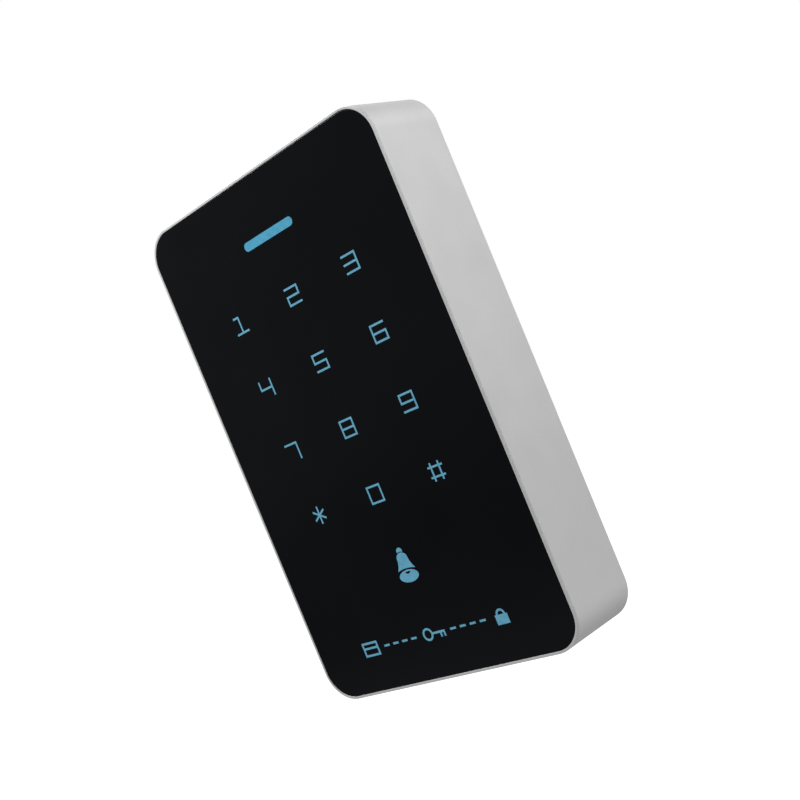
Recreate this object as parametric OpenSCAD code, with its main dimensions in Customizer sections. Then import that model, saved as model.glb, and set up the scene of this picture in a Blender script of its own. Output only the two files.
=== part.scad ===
// Touch keypad access reader on a steel wall plate.
// X runs to the right seen from the front, Y into the wall, Z up.
// The origin is the middle of the wall plate's back face, so the wall is the plane y = 0.

/* [Body] */
// Width of the housing
body_w = 76; // [60:0.5:100]
// Height of the housing
body_h = 118; // [96:0.5:150]
// Depth of the housing frame, front rim to rear edge
frame_d = 20.5; // [17:0.1:30]
// Outer corner radius of the housing
corner_r = 7.6; // [7:0.1:12]
// Side wall in front of the rear seal
wall_t = 2.4; // [1.8:0.1:3]
// Side wall around the rear cover
rear_wall_t = 1.2; // [0.9:0.1:1.5]
// Visible metal rim around the front panel
rim_w = 0.6; // [0.4:0.05:1.2]
// Rounding of the outer front edge
edge_round = 0.15; // [0.1:0.05:0.2]
// Distance of the fine groove round the side from the front
groove_back = 0.3; // [0.3:0.1:2]
// Width of that groove
groove_w = 0.2; // [0.1:0.05:0.4]
// Depth of that groove
groove_d = 0.15; // [0.05:0.05:0.3]
// Gap left between the housing's rear edge and the wall
rear_gap = 0.3; // [0.1:0.1:1]

/* [Front panel] */
// Thickness of the front panel
panel_t = 2; // [1.5:0.1:3]
// Gap between the panel and the rim
panel_gap = 0.08; // [0.03:0.01:0.2]
// Thickness of the bonding tape
tape_t = 0.4; // [0.2:0.05:0.8]
// Inset of the ledge that carries the panel, from the outer surface
ledge_inset = 6; // [5:0.1:6.8]
// Thickness of that ledge
ledge_t = 1.5; // [1:0.1:2]
// Depth of the filled legends in the panel
legend_depth = 0.3; // [0.15:0.05:0.5]

/* [Keys] */
// Distance of the outer key columns from the side
key_side_inset = 19.2; // [15:0.1:22]
// Distance of the first key row from the top
key_top_inset = 28.2; // [24:0.1:30]
// Distance of the last key row from the bottom
key_bottom_inset = 43.3; // [40:0.1:46]
// Width of a digit
digit_w = 4.2; // [3:0.1:6]
// Height of a digit
digit_h = 4.1; // [3:0.1:6]
// Width of the digits' strokes
stroke_w = 0.45; // [0.3:0.05:0.8]
// Distance of the status bar from the top
bar_top_inset = 14; // [11:0.1:15]
// Length of the status bar
bar_w = 16.4; // [10:0.1:24]
// Height of the status bar
bar_h = 2; // [1.5:0.1:3]
// Distance of the bell from the bottom
bell_bottom_inset = 26.7; // [24:0.1:30]
// Height of the bell
bell_h = 8; // [6:0.1:9]
// Distance of the footer marks from the bottom
footer_bottom_inset = 10.6; // [8:0.1:14]

/* [Board] */
// Thickness of the circuit board
board_t = 1.6; // [1:0.1:2]
// Gap between the board and the side walls
board_gap = 0.3; // [0.2:0.1:1]
// Height of the bosses between ledge and board
board_standoff = 1.6; // [1:0.1:2.5]
// Distance of the board screws from the board's ends
board_screw_inset = 18.5; // [14:0.5:22]
// Thickness of the diffuser film
film_t = 0.3; // [0.1:0.05:0.5]
// Radius of a light well
well_r = 3.9; // [3.6:0.1:4.2]
// Gap left behind the tallest component
tall_gap = 0.7; // [0.4:0.1:1.5]

/* [Rear cover] */
// Thickness of the rear cover
cover_t = 1.6; // [1.2:0.1:2.2]
// Gap between the rear cover and the wall plate
cover_gap = 2; // [1.6:0.1:3]
// Play of the rear cover in its rebate
cover_play = 0.2; // [0.1:0.05:0.4]
// Thickness of the rear seal
seal_t = 0.8; // [0.5:0.1:1.2]
// Radius of the cover screws' shank
cover_screw_r = 1.25; // [1:0.05:1.4]
// Inset of the cover screws from the outer surface
cover_screw_inset = 5; // [4.8:0.1:5.6]

/* [Wall plate] */
// Thickness of the wall plate
plate_t = 1.2; // [0.8:0.1:1.6]
// Play between the plate's edge and the housing
plate_play = 0.6; // [0.4:0.1:1]
// Radius of the cable hole through the grommet
cable_r = 9; // [6:0.5:10]
// Radius of the four wall screw holes
wall_hole_r = 2.2; // [1.8:0.1:2.6]
// Hole distance of a standard flush wall box
box_pitch = 60.3; // [60.3:0.1:60.3]
// Half width of the two slots for it
box_slot_r = 1.9; // [1.7:0.1:2.2]
// Length of those slots
box_slot_l = 8; // [6:0.5:9]
// Largest angle of the reader on its hooks
tilt_max = 20; // [5:1:20]
// Width of a hook
hook_w = 10; // [8:0.5:14]
// Distance of the hooks from the middle
hook_x = 20; // [16:0.5:24]

/* [Tamper switch and lock] */
// Radius of the tamper plunger
plunger_r = 2; // [1.5:0.1:2.4]
// Travel of the plunger out past the wall plane
tamper_out = 1.2; // [0.8:0.1:1.5]
// Radius of the lock screw
lock_r = 1.5; // [1.25:0.05:1.6]
// Travel of the lock screw from free to locked
lock_travel = 2.6; // [2.2:0.1:3]

/* [Hidden] */
$fn = 64;
eps = 0.01;
fit_gap = 0.03;             // radial gap of a screw in its thread
run_gap = 0.08;             // radial gap of a sliding pin

// Planes, from the wall to the front
plate_front = -plate_t;
cover_back = plate_front - cover_gap;
cover_front = cover_back - cover_t;
seal_front = cover_front - seal_t;
housing_back = -rear_gap;
front_y = housing_back - frame_d;
groove_y = front_y + max(groove_back, edge_round + groove_w / 2 + 0.05);   // clear of the rounding
panel_back = front_y + panel_t;
ledge_front = panel_back + tape_t;
ledge_back = ledge_front + ledge_t;
board_front = ledge_back + board_standoff;
board_back = board_front + board_t;
bay_d = cover_front - board_back;
tall_h = bay_d - tall_gap;

// Outline insets, measured from the housing's outer surface
panel_inset = rim_w + panel_gap;
cover_inset = rear_wall_t + cover_play;
plate_inset = rear_wall_t + plate_play;
board_inset = wall_t + board_gap;

// Keypad
key_x = body_w / 2 - key_side_inset;
key_top_z = body_h / 2 - key_top_inset;
key_pitch_z = (body_h - key_top_inset - key_bottom_inset) / 3;
bar_z = body_h / 2 - bar_top_inset;
bell_z = -body_h / 2 + bell_bottom_inset;
footer_z = -body_h / 2 + footer_bottom_inset;
function key_pos(col, row) = [(col - 1) * key_x, key_top_z - row * key_pitch_z];
key_places = concat([for (row = [0:3], col = [0:2]) key_pos(col, row)], [[0, bell_z]]);

// Light shield and antenna
board_boss_r = 2;
board_boss_x = body_w / 2 - board_inset - 2.9;
board_boss_z = body_h / 2 - board_inset - board_screw_inset;
coil_w = 2;
coil_t = 1.4;
coil_gap = 0.4;
coil_inset = body_w / 2 - board_boss_x + board_boss_r + coil_gap;
coil_corner_r = 4;
shield_inset = coil_inset + coil_w + coil_gap;
shield_corner_r = 2;
shield_t = board_front - panel_back - film_t;

// Places of the parts on the back of the board, from its centre
header_z = -13;
header_pins_n = 10;
header_pitch = 2.5;
header_w = header_pins_n * header_pitch + 4;
tamper_pos = [-20, 26];
relay_pos = [20, 8];
buzzer_pos = [-20, 6];

// Screws and the wall plate
board_screw_r = 1;
board_screw_l = 2.2;
cover_screw_head_r = 2.2;
grommet_t = 1.6;
wall_hole_x = body_w / 2 - plate_inset - 10;
wall_hole_z = body_h / 2 - plate_inset - 17;

// Hooks of the wall plate
hook_top_z = body_h / 2 - 4.8;          // top of a hook's forward part
hook_slot_top = hook_top_z + 0.3;
hook_engage = 1.8;
hook_slot_bottom = hook_top_z - plate_t - 2.8;
hook_throat = -cover_front + (body_h / 2 - hook_slot_top) * sin(tilt_max) + 0.3;
hook_slot_w = hook_w + 1.2;

// Lock at the bottom
lock_gap = 1;                            // between the lock boss and the lock tab, for the swing
lock_boss_h = 4.7;
lock_room = board_back - seal_front;     // negative: the bay in front of the seal
lock_y = (board_back + seal_front) / 2;
lock_boss_d = -lock_room - 0.6;
lock_boss_w = 8;
lock_tab_z = -body_h / 2 + lock_boss_h + lock_gap;
lock_tab_w = 12;
lock_tab_reach = -lock_y + 3.1;
lock_screw_l = 4.6;
lock_screw_low = -body_h / 2 + 0.2;

// Tamper switch
switch_h = 2.2;
nub_h = 0.4;
nub_gap = 0.1;
plunger_stop = cover_front - tamper_out - 0.2;   // rear face of the plunger's collar at rest
collar_t = 0.6;
collar_r = plunger_r + 1;
plunger_inner = board_back + switch_h + nub_h + nub_gap;

module outline(inset) {
    w = body_w - 2 * inset;
    h = body_h - 2 * inset;
    rounded(w, h, max(corner_r - inset, 0.5));
}

// A rounded rectangle made of squares and circles, so that its arcs stay true
module rounded(w, h, r) {
    square([w - 2 * r, h], center = true);
    square([w, h - 2 * r], center = true);
    for (x = [-1, 1], z = [-1, 1])
        translate([x * (w / 2 - r), z * (h / 2 - r)]) circle(r);
}

// A bar with round ends
module stadium(w, h) {
    square([w - h, h], center = true);
    for (x = [-1, 1]) translate([x * (w - h) / 2, 0]) circle(h / 2);
}

// Extrudes a front-view outline from y0, nearer the front, to y1
module slab(y0, y1) {
    translate([0, y1, 0]) rotate([90, 0, 0]) linear_extrude(y1 - y0) children();
}

module plate_at(inset, y0, y1) {
    slab(y0, y1) outline(inset);
}

module block(x, z, w, h, y0, y1) {
    translate([x - w / 2, y0, z - h / 2]) cube([w, y1 - y0, h]);
}

module rod(x, z, r, y0, y1) {
    translate([x, y1, z]) rotate([90, 0, 0]) cylinder(r = r, h = y1 - y0);
}

module ring(x, z, r_out, r_in, y0, y1) {
    difference() {
        rod(x, z, r_out, y0, y1);
        rod(x, z, r_in, y0 - eps, y1 + eps);
    }
}

// Sweeps a section round the housing. Section points are [inset from the outer surface, y].
module sweep_round(section) {
    straight_x = body_w / 2 - corner_r;
    straight_z = body_h / 2 - corner_r;
    for (s = [0, 180]) rotate([0, s, 0]) {
        translate([0, 0, -straight_z]) linear_extrude(2 * straight_z)
            polygon([for (p = section) [body_w / 2 - p[0], p[1]]]);
        rotate([0, -90, 0]) translate([0, 0, -straight_x]) linear_extrude(2 * straight_x)
            polygon([for (p = section) [body_h / 2 - p[0], p[1]]]);
    }
    for (x = [0, 1], z = [0, 1]) mirror([x, 0, 0]) mirror([0, 0, z])
        translate([straight_x, 0, straight_z]) rotate([90, 0, 0]) rotate_extrude(angle = 90)
            polygon([for (p = section) [corner_r - p[0], -p[1]]]);
}

// ---- wall side ----

module wall_plate() {
    color("silver") difference() {
        union() {
            difference() {
                plate_at(plate_inset, plate_front, 0);
                for (x = [-hook_x, hook_x])
                    block(x, body_h / 2 + hook_top_z / 2 - body_h / 4, hook_slot_w,
                        body_h / 2 - hook_top_z, plate_front - eps, eps);
                block(0, (lock_tab_z - body_h / 2) / 2, lock_tab_w + 2, body_h / 2 + lock_tab_z,
                    plate_front - eps, eps);
            }
            for (x = [-hook_x, hook_x]) {
                block(x, hook_top_z - plate_t / 2, hook_w, plate_t, -hook_throat - plate_t, 0);
                block(x, hook_top_z + hook_engage / 2 - plate_t / 2, hook_w, hook_engage + plate_t,
                    -hook_throat - plate_t, -hook_throat);
            }
            block(0, lock_tab_z + plate_t / 2, lock_tab_w, plate_t, -lock_tab_reach, 0);
        }
        translate([0, lock_y, lock_tab_z - eps]) cylinder(r = lock_r + 0.4, h = plate_t + 2 * eps);
        rod(0, header_z, cable_r + grommet_t, plate_front - eps, eps);
        rod(tamper_pos[0], tamper_pos[1], plunger_r + 1, plate_front - eps, eps);
        for (x = [-1, 1], z = [-1, 1])
            rod(x * wall_hole_x, z * wall_hole_z, wall_hole_r, plate_front - eps, eps);
        for (z = [-box_pitch / 2, box_pitch / 2]) {
            slot_half = box_slot_l / 2 - box_slot_r;
            block(0, z, 2 * box_slot_r, 2 * slot_half, plate_front - eps, eps);
            for (end = [-slot_half, slot_half])
                rod(0, z + end, box_slot_r, plate_front - eps, eps);
        }
    }
}

module cable_grommet() {
    color("dimgray") union() {
        ring(0, header_z, cable_r + grommet_t, cable_r, plate_front - eps, 0);
        ring(0, header_z, cable_r + grommet_t + 1.6, cable_r, plate_front - 0.9, plate_front);
    }
}

// ---- housing ----

module housing_frame() {
    arc_steps = 4;
    edge_arc = [for (i = [0:arc_steps]) let (a = 90 * i / arc_steps)
        [edge_round * (1 - cos(a)), front_y + edge_round * (1 - sin(a))]];
    section = concat(edge_arc, [
        [rim_w, front_y], [rim_w, ledge_front], [ledge_inset, ledge_front], [ledge_inset, ledge_back],
        [wall_t, ledge_back], [wall_t, seal_front], [rear_wall_t, seal_front],
        [rear_wall_t, housing_back], [0.25, housing_back], [0, housing_back - 0.25],
        [0, groove_y + groove_w / 2], [groove_d, groove_y], [0, groove_y - groove_w / 2]]);
    boss_x = body_w / 2 - cover_screw_inset;
    boss_z = body_h / 2 - cover_screw_inset;
    color("lightgray") difference() {
        union() {
            sweep_round(section);
            difference() {
                union() for (x = [-1, 1], z = [-1, 1])
                    rod(x * boss_x, z * boss_z, 2.8, ledge_back - 0.5, cover_front);
                difference() {
                    plate_at(-5, seal_front, 0);
                    plate_at(wall_t, seal_front - 1, 1);
                }
                difference() {
                    plate_at(-5, ledge_front, 0);
                    plate_at(rear_wall_t + eps, ledge_front - 1, 1);
                }
            }
            for (x = [-1, 1], z = [-1, 1])
                rod(x * board_boss_x, z * board_boss_z, board_boss_r, ledge_back - 1, board_front);
            translate([-lock_boss_w / 2, lock_y - lock_boss_d / 2, -body_h / 2 + 0.5])
                cube([lock_boss_w, lock_boss_d, lock_boss_h - 0.5]);
        }
        for (x = [-1, 1], z = [-1, 1]) {
            rod(x * boss_x, z * boss_z, cover_screw_r + fit_gap, cover_front - 7, cover_front + eps);
            rod(x * board_boss_x, z * board_boss_z, board_screw_r + fit_gap,
                board_front - board_screw_l - 0.2, board_front + eps);
        }
        translate([0, lock_y, -body_h / 2 - eps])
            cylinder(r = lock_r + fit_gap, h = lock_boss_h + 2 * eps);
    }
}

module front_panel() {
    color("black") difference() {
        plate_at(panel_inset, front_y, panel_back);
        slab(front_y - eps, front_y + legend_depth) {
            all_digits();
            bell();
            footer_marks();
            status_bar();
        }
    }
}

module panel_tape() {
    color("gray") difference() {
        plate_at(panel_inset + 0.4, panel_back, ledge_front);
        slab(panel_back - eps, ledge_front + eps)
            rounded(body_w - 2 * ledge_inset, body_h - 2 * ledge_inset, corner_r - ledge_inset);
    }
}

// ---- legends ----

// Seven bars of a digit, in the order top, upper right, lower right, bottom, lower left, upper left, middle
module bars(on) {
    half_w = (digit_w - stroke_w) / 2;
    half_h = (digit_h - stroke_w) / 2;
    level = [half_h, half_h / 2, -half_h / 2, -half_h, -half_h / 2, half_h / 2, 0];
    side = [0, half_w, half_w, 0, -half_w, -half_w, 0];
    for (i = [0:6]) if (on[i])
        translate([side[i], level[i]])
            square(side[i] == 0 ? [digit_w, stroke_w] : [stroke_w, half_h + stroke_w], center = true);
}

DIGIT_BARS = [[1, 1, 1, 1, 1, 1, 0], [0, 0, 0, 0, 0, 0, 0], [1, 1, 0, 1, 1, 0, 1], [1, 1, 1, 1, 0, 0, 1],
    [0, 1, 1, 0, 0, 1, 1], [1, 0, 1, 1, 0, 1, 1], [1, 0, 1, 1, 1, 1, 1], [1, 1, 1, 0, 0, 0, 0],
    [1, 1, 1, 1, 1, 1, 1], [1, 1, 1, 1, 0, 1, 1]];

module one() {
    square([stroke_w, digit_h], center = true);
    translate([0, -(digit_h - stroke_w) / 2]) square([digit_w, stroke_w], center = true);
    flag_w = digit_w * 0.46;
    translate([(stroke_w - flag_w) / 2, (digit_h - stroke_w) / 2]) square([flag_w, stroke_w], center = true);
}

module star() {
    for (a = [0, 60, 120]) rotate(a + 90) square([digit_w, stroke_w], center = true);
}

module hash() {
    for (s = [-1, 1]) {
        translate([s * digit_w * 0.27, 0]) square([stroke_w, digit_h], center = true);
        translate([0, s * digit_h * 0.27]) square([digit_w, stroke_w], center = true);
    }
}

module all_digits() {
    for (n = [2:9]) translate(key_pos((n - 1) % 3, floor((n - 1) / 3))) bars(DIGIT_BARS[n]);
    translate(key_pos(0, 0)) one();
    translate(key_pos(0, 3)) star();
    translate(key_pos(1, 3)) bars(DIGIT_BARS[0]);
    translate(key_pos(2, 3)) hash();
}

// An ellipse by its half width and half height
module ellipse(a, b) {
    scale([1, b / a]) circle(a, $fn = 48);
}

// Doorbell sign: a flared bell over a tilted mouth, with a cap on top and a clapper in the mouth
module bell() {
    dome_w = bell_h * 0.2;
    dome_h = bell_h * 0.166;
    dome_z = bell_h * 0.19;
    cap_r = bell_h * 0.106;
    gap = bell_h * 0.025;
    mouth_w = bell_h * 0.36;
    mouth_h = bell_h * 0.178;
    mouth_z = mouth_h - bell_h / 2;
    flare = [for (i = [0:8]) let (t = i / 8)
        [dome_w + bell_h * 0.137 * pow(t, 1.8), dome_z - bell_h * 0.34 * t]];
    translate([0, bell_z]) {
        difference() {
            union() {
                polygon(concat(flare, [for (i = [8:-1:0]) [-flare[i][0], flare[i][1]]]));
                translate([0, dome_z]) ellipse(dome_w, dome_h);
            }
            translate([0, mouth_z]) ellipse(mouth_w * 1.5, mouth_h * 1.26);
        }
        difference() {
            translate([0, mouth_z]) ellipse(mouth_w, mouth_h);
            translate([0, mouth_z + mouth_h * 0.72]) intersection() {
                ellipse(mouth_w * 0.26, mouth_h * 0.36);
                translate([0, -mouth_h / 2]) square([mouth_w, mouth_h], center = true);
            }
        }
        difference() {
            translate([0, bell_h / 2 - cap_r]) circle(cap_r, $fn = 32);
            translate([0, dome_z]) ellipse(dome_w + gap, dome_h + gap);
        }
    }
}

// Footer marks: a card, a key and a padlock joined by dashes
module footer_marks() {
    icon_x = 20;
    s = 0.5;
    translate([0, footer_z]) {
        translate([-icon_x, 0]) difference() {
            square([5, 3.4], center = true);
            square([5 - 2 * s, 3.4 - 2 * s], center = true);
        }
        translate([-icon_x, 0.25]) square([5, s], center = true);
        translate([-1.6, 0]) difference() {
            circle(1.5, $fn = 32);
            circle(1.5 - s, $fn = 32);
        }
        translate([1.6, 0]) square([3.8, s], center = true);
        for (x = [2.2, 3.25]) translate([x, -0.6]) square([s, 1.2], center = true);
        translate([icon_x, -0.75]) square([3.4, 2.2], center = true);
        translate([icon_x, 0.35]) difference() {
            union() {
                circle(1.25, $fn = 32);
                translate([0, -0.35]) square([2.5, 0.7], center = true);
            }
            circle(1.25 - s, $fn = 32);
            translate([0, -0.45]) square([2.5 - 2 * s, 0.9], center = true);
        }
        for (side = [-1, 1], i = [0:3])
            translate([side * (icon_x / 2 + 0.4) + (i - 1.5) * 2.9, 0]) square([1.7, s], center = true);
    }
}

module status_bar() {
    translate([0, bar_z]) stadium(bar_w, bar_h);
}

module filled_legend() {
    slab(front_y, front_y + legend_depth) children();
}

module key_legends() {
    color("steelblue") filled_legend() all_digits();
}

module bell_legend() {
    color("steelblue") filled_legend() bell();
}

module footer_legend() {
    color("steelblue") filled_legend() footer_marks();
}

module status_window() {
    color("skyblue") filled_legend() status_bar();
}

// ---- light and touch ----

module diffuser_film() {
    color("white") slab(panel_back, panel_back + film_t)
        rounded(body_w - 2 * shield_inset, body_h - 2 * shield_inset, shield_corner_r);
}

module light_shield() {
    color("dimgray") difference() {
        slab(board_front - shield_t, board_front)
            rounded(body_w - 2 * shield_inset, body_h - 2 * shield_inset, shield_corner_r);
        for (p = key_places) rod(p[0], p[1], well_r, board_front - shield_t - eps, board_front + eps);
        slab(board_front - shield_t - eps, board_front + eps)
            translate([0, bar_z]) rounded(bar_w + 1, bar_h + 1.2, 1);
    }
}

module main_board() {
    notch_x = body_w / 2 - cover_screw_inset - 3.3;
    notch_z = body_h / 2 - cover_screw_inset - 3.3;
    color("darkgreen") difference() {
        slab(board_front, board_back)
            rounded(body_w - 2 * board_inset, body_h - 2 * board_inset, corner_r - board_inset);
        for (x = [-1, 1], z = [-1, 1]) {
            block(x * (notch_x + 10), z * (notch_z + 10), 20, 20, board_front - eps, board_back + eps);
            rod(x * board_boss_x, z * board_boss_z, board_screw_r + 0.15, board_front - eps,
                board_back + eps);
        }
    }
}

module led(x, z) {
    block(x, z, 2.8, 1.8, board_front - 0.7, board_front);
    rod(x, z, 0.7, board_front - 1, board_front - 0.7 + eps);
}

module key_leds() {
    color("ivory") for (p = key_places) led(p[0], p[1]);
}

module status_leds() {
    color("ivory") for (i = [-1:1]) led(i * bar_w / 3, bar_z);
}

// Contact springs: each is drawn as the sleeve that its coil fills
module touch_springs() {
    color("gold") for (p = key_places)
        ring(p[0], p[1], well_r - 0.4, well_r - 0.9, board_front - shield_t, board_front);
}

module antenna_coil() {
    color("peru") difference() {
        slab(board_front - coil_t, board_front)
            rounded(body_w - 2 * coil_inset, body_h - 2 * coil_inset, coil_corner_r);
        slab(board_front - coil_t - eps, board_front + eps)
            rounded(body_w - 2 * (coil_inset + coil_w), body_h - 2 * (coil_inset + coil_w),
                coil_corner_r - coil_w);
    }
}

// ---- parts on the back of the board ----

// A chip with leads on two sides, or on four
module chip(x, z, w, h, t, pins_x, pins_z, pitch) {
    lead_w = pitch * 0.45;
    block(x, z, w, h, board_back + 0.1, board_back + t);
    if (pins_x > 0) for (i = [0:pins_x - 1], s = [-1, 1]) {
        px = x + (i - (pins_x - 1) / 2) * pitch;
        block(px, z + s * (h / 2 + 0.45), lead_w, 1.1, board_back, board_back + 0.15);
        block(px, z + s * (h / 2 + 0.1), lead_w, 0.4, board_back, board_back + t / 2);
    }
    if (pins_z > 0) for (i = [0:pins_z - 1], s = [-1, 1]) {
        pz = z + (i - (pins_z - 1) / 2) * pitch;
        block(x + s * (w / 2 + 0.45), pz, 1.1, lead_w, board_back, board_back + 0.15);
        block(x + s * (w / 2 + 0.1), pz, 0.4, lead_w, board_back, board_back + t / 2);
    }
}

module controller_chip() {
    color("black") union() chip(0, 12, 10, 10, 1.5, 11, 11, 0.8);
}

module touch_chip() {
    color("black") union() chip(0, 28, 10.2, 5.3, 1.8, 14, 0, 0.65);
}

module crystal() {
    color("silver") slab(board_back, board_back + 3.4) translate([0, 2]) stadium(11, 4.4);
}

module relay() {
    color("orange") union() {
        block(relay_pos[0], relay_pos[1], 7.4, 15, board_back + 0.3, board_back + tall_h);
        for (x = [-1, 1], z = [-1, 1])
            rod(relay_pos[0] + x * 2.9, relay_pos[1] + z * 6.4, 0.5, board_back, board_back + 0.4);
    }
}

module buzzer() {
    color("black") difference() {
        rod(buzzer_pos[0], buzzer_pos[1], 6, board_back, board_back + tall_h - 0.6);
        rod(buzzer_pos[0], buzzer_pos[1], 1.2, board_back + tall_h - 1.6, board_back + tall_h);
    }
}

module power_capacitors() {
    color("silver") for (x = [16, 24]) {
        block(x, -26, 6.6, 6.6, board_back, board_back + 0.8);
        rod(x, -26, 3.1, board_back + 0.8 - eps, board_back + tall_h - 1);
    }
}

module power_inductor() {
    color("dimgray") union() {
        block(6, -27, 7, 7, board_back, board_back + 1);
        rod(6, -27, 3.2, board_back + 1 - eps, board_back + 3.6);
    }
}

module voltage_regulator() {
    color("black") union() {
        block(-6, -27, 6.5, 3.5, board_back + 0.1, board_back + 1.7);
        block(-6, -24.6, 3, 1.8, board_back, board_back + 0.6);
        for (x = [-2.3, 0, 2.3]) block(-6 + x, -29.2, 0.7, 1.4, board_back, board_back + 0.6);
    }
}

module surge_varistor() {
    color("royalblue") union() {
        translate([-25, board_back + 3.8, -24]) rotate([0, 90, 0]) cylinder(r = 3, h = 2.6, center = true);
        for (z = [-1.5, 1.5]) rod(-25, -24 + z, 0.35, board_back, board_back + 2);
    }
}

// Resistors and capacitors in two small fields
module small_parts() {
    color("tan") {
        for (i = [0:3], j = [0:3]) block(15.5 + i * 3, 22 + j * 3, 1.6, 0.8, board_back, board_back + 0.5);
        for (i = [0:2], j = [0:2])
            block(-25.5 + i * 3, -14 + j * 3, 0.8, 1.6, board_back, board_back + 0.5);
    }
}

module wire_header() {
    inner_h = 4.6;
    color("ivory") difference() {
        block(0, header_z, header_w, inner_h + 1.6, board_back, board_back + tall_h - 1);
        block(0, header_z, header_w - 1.6, inner_h, board_back + 1.6, board_back + tall_h);
        for (x = [-8, 8])
            block(x, header_z + inner_h / 2 + 0.4, 3, 2, board_back + 3, board_back + tall_h);
        for (i = [0:header_pins_n - 1])
            block((i - (header_pins_n - 1) / 2) * header_pitch, header_z, 0.64, 0.64, board_back - eps,
                board_back + 2);
    }
}

module header_pins() {
    color("gold") for (i = [0:header_pins_n - 1])
        block((i - (header_pins_n - 1) / 2) * header_pitch, header_z, 0.64, 0.64, board_back,
            board_back + tall_h - 2);
}

module tamper_switch() {
    color("black") union() {
        block(tamper_pos[0], tamper_pos[1], 6, 6, board_back, board_back + switch_h);
        rod(tamper_pos[0], tamper_pos[1], 1.4, board_back + switch_h - eps, board_back + switch_h + nub_h);
    }
}

// The spring is drawn as the sleeve that its coil fills
module tamper_spring() {
    color("silver") ring(tamper_pos[0], tamper_pos[1], collar_r - 0.1, plunger_r + 0.2,
        board_back + switch_h, plunger_stop - collar_t);
}

module tamper_plunger() {
    color("white") union() {
        rod(tamper_pos[0], tamper_pos[1], plunger_r, plunger_inner, -0.3);
        translate([tamper_pos[0], 0, tamper_pos[1]]) rotate([90, 0, 0])
            cylinder(r1 = plunger_r - 0.3, r2 = plunger_r, h = 0.3 + eps);
        rod(tamper_pos[0], tamper_pos[1], collar_r, plunger_stop - collar_t, plunger_stop);
    }
}

module board_screws() {
    color("silver") for (x = [-1, 1], z = [-1, 1]) {
        difference() {
            union() {
                rod(x * board_boss_x, z * board_boss_z, board_screw_r, board_front - board_screw_l,
                    board_back + eps);
                rod(x * board_boss_x, z * board_boss_z, 1.9, board_back, board_back + 1.2);
            }
            for (turn = [0, 90])
                translate([x * board_boss_x, board_back + 1.2, z * board_boss_z]) rotate([0, turn, 0])
                    cube([2.2, 1.2, 0.5], center = true);
        }
    }
}

// ---- rear ----

module rear_seal() {
    color("black") difference() {
        plate_at(rear_wall_t + 0.1, seal_front, cover_front);
        plate_at(wall_t - 0.3, seal_front - eps, cover_front + eps);
    }
}

module rear_cover() {
    screw_x = body_w / 2 - cover_screw_inset;
    screw_z = body_h / 2 - cover_screw_inset;
    color("darkslategray") difference() {
        union() {
            plate_at(cover_inset, cover_front, cover_back);
            ring(tamper_pos[0], tamper_pos[1], plunger_r + 1.4, plunger_r + run_gap, cover_front,
                cover_back + 0.8);
        }
        for (x = [-1, 1], z = [-1, 1]) {
            rod(x * screw_x, z * screw_z, cover_screw_r + 0.2, cover_front - eps, cover_back + eps);
            rod(x * screw_x, z * screw_z, cover_screw_head_r + 0.15, cover_back - 0.7, cover_back + eps);
        }
        rod(tamper_pos[0], tamper_pos[1], plunger_r + run_gap, cover_front - eps, cover_back + 1);
        for (x = [-hook_x, hook_x])
            block(x, (hook_slot_top + hook_slot_bottom) / 2, hook_slot_w, hook_slot_top - hook_slot_bottom,
                cover_front - eps, cover_back + eps);
        block(0, lock_tab_z + plate_t / 2, lock_tab_w + 1.2, plate_t + 2 * lock_gap, cover_front - eps,
            cover_back + eps);
        slab(cover_front - eps, cover_back + eps) translate([0, header_z]) rounded(header_w + 4, 13, 2);
        for (a = [0:60:300])
            rod(buzzer_pos[0] + 2.6 * cos(a), buzzer_pos[1] + 2.6 * sin(a), 0.6, cover_front - eps,
                cover_back + eps);
    }
}

module cover_screws() {
    color("silver") for (x = [-1, 1], z = [-1, 1])
        translate([x * (body_w / 2 - cover_screw_inset), 0, z * (body_h / 2 - cover_screw_inset)])
            difference() {
                union() {
                    rod(0, 0, cover_screw_r, cover_front - 6.5, cover_back);
                    rod(0, 0, cover_screw_head_r, cover_back - 0.7, cover_back + 0.7);
                }
                for (turn = [0, 90])
                    translate([0, cover_back + 0.7, 0]) rotate([0, turn, 0])
                        cube([2.6, 1.2, 0.6], center = true);
            }
}

module lock_screw() {
    color("dimgray") translate([0, lock_y, lock_screw_low]) difference() {
        union() {
            cylinder(r = lock_r, h = lock_screw_l - 0.4);
            translate([0, 0, lock_screw_l - 0.4 - eps]) cylinder(r1 = lock_r, r2 = lock_r - 0.4, h = 0.4);
        }
        translate([0, 0, -eps]) cylinder(r = 0.9, h = 1.6, $fn = 6);
    }
}

wall_plate();
cable_grommet();
housing_frame();
front_panel();
panel_tape();
key_legends();
bell_legend();
footer_legend();
status_window();
diffuser_film();
light_shield();
main_board();
key_leds();
status_leds();
touch_springs();
antenna_coil();
controller_chip();
touch_chip();
crystal();
relay();
buzzer();
power_capacitors();
power_inductor();
voltage_regulator();
surge_varistor();
small_parts();
wire_header();
header_pins();
tamper_switch();
tamper_spring();
tamper_plunger();
board_screws();
rear_seal();
rear_cover();
cover_screws();
lock_screw();
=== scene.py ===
# %% [markdown]
# # A touch keypad and card reader
#
# The real thing is a flat slab that hangs on a steel plate on the wall. A die-cast frame, painted satin
# silver, carries one black acrylic panel. Digits, a bell and a status bar are printed in blue on it and
# lit from behind. Behind the panel lie a light shield, contact springs, an antenna and a circuit board.
#
# The engineering model already has every piece at its real size, so this lesson only makes looks. It
# could have been made with one soft-edged block and a picture on it, but then nothing could be opened
# or tilted. So each piece stays a piece, and the ones whose plain solid shows hard edges are built again.

# %% Load the frame
import math

import bmesh
import bpy
from mathutils import Matrix, Vector


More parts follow.
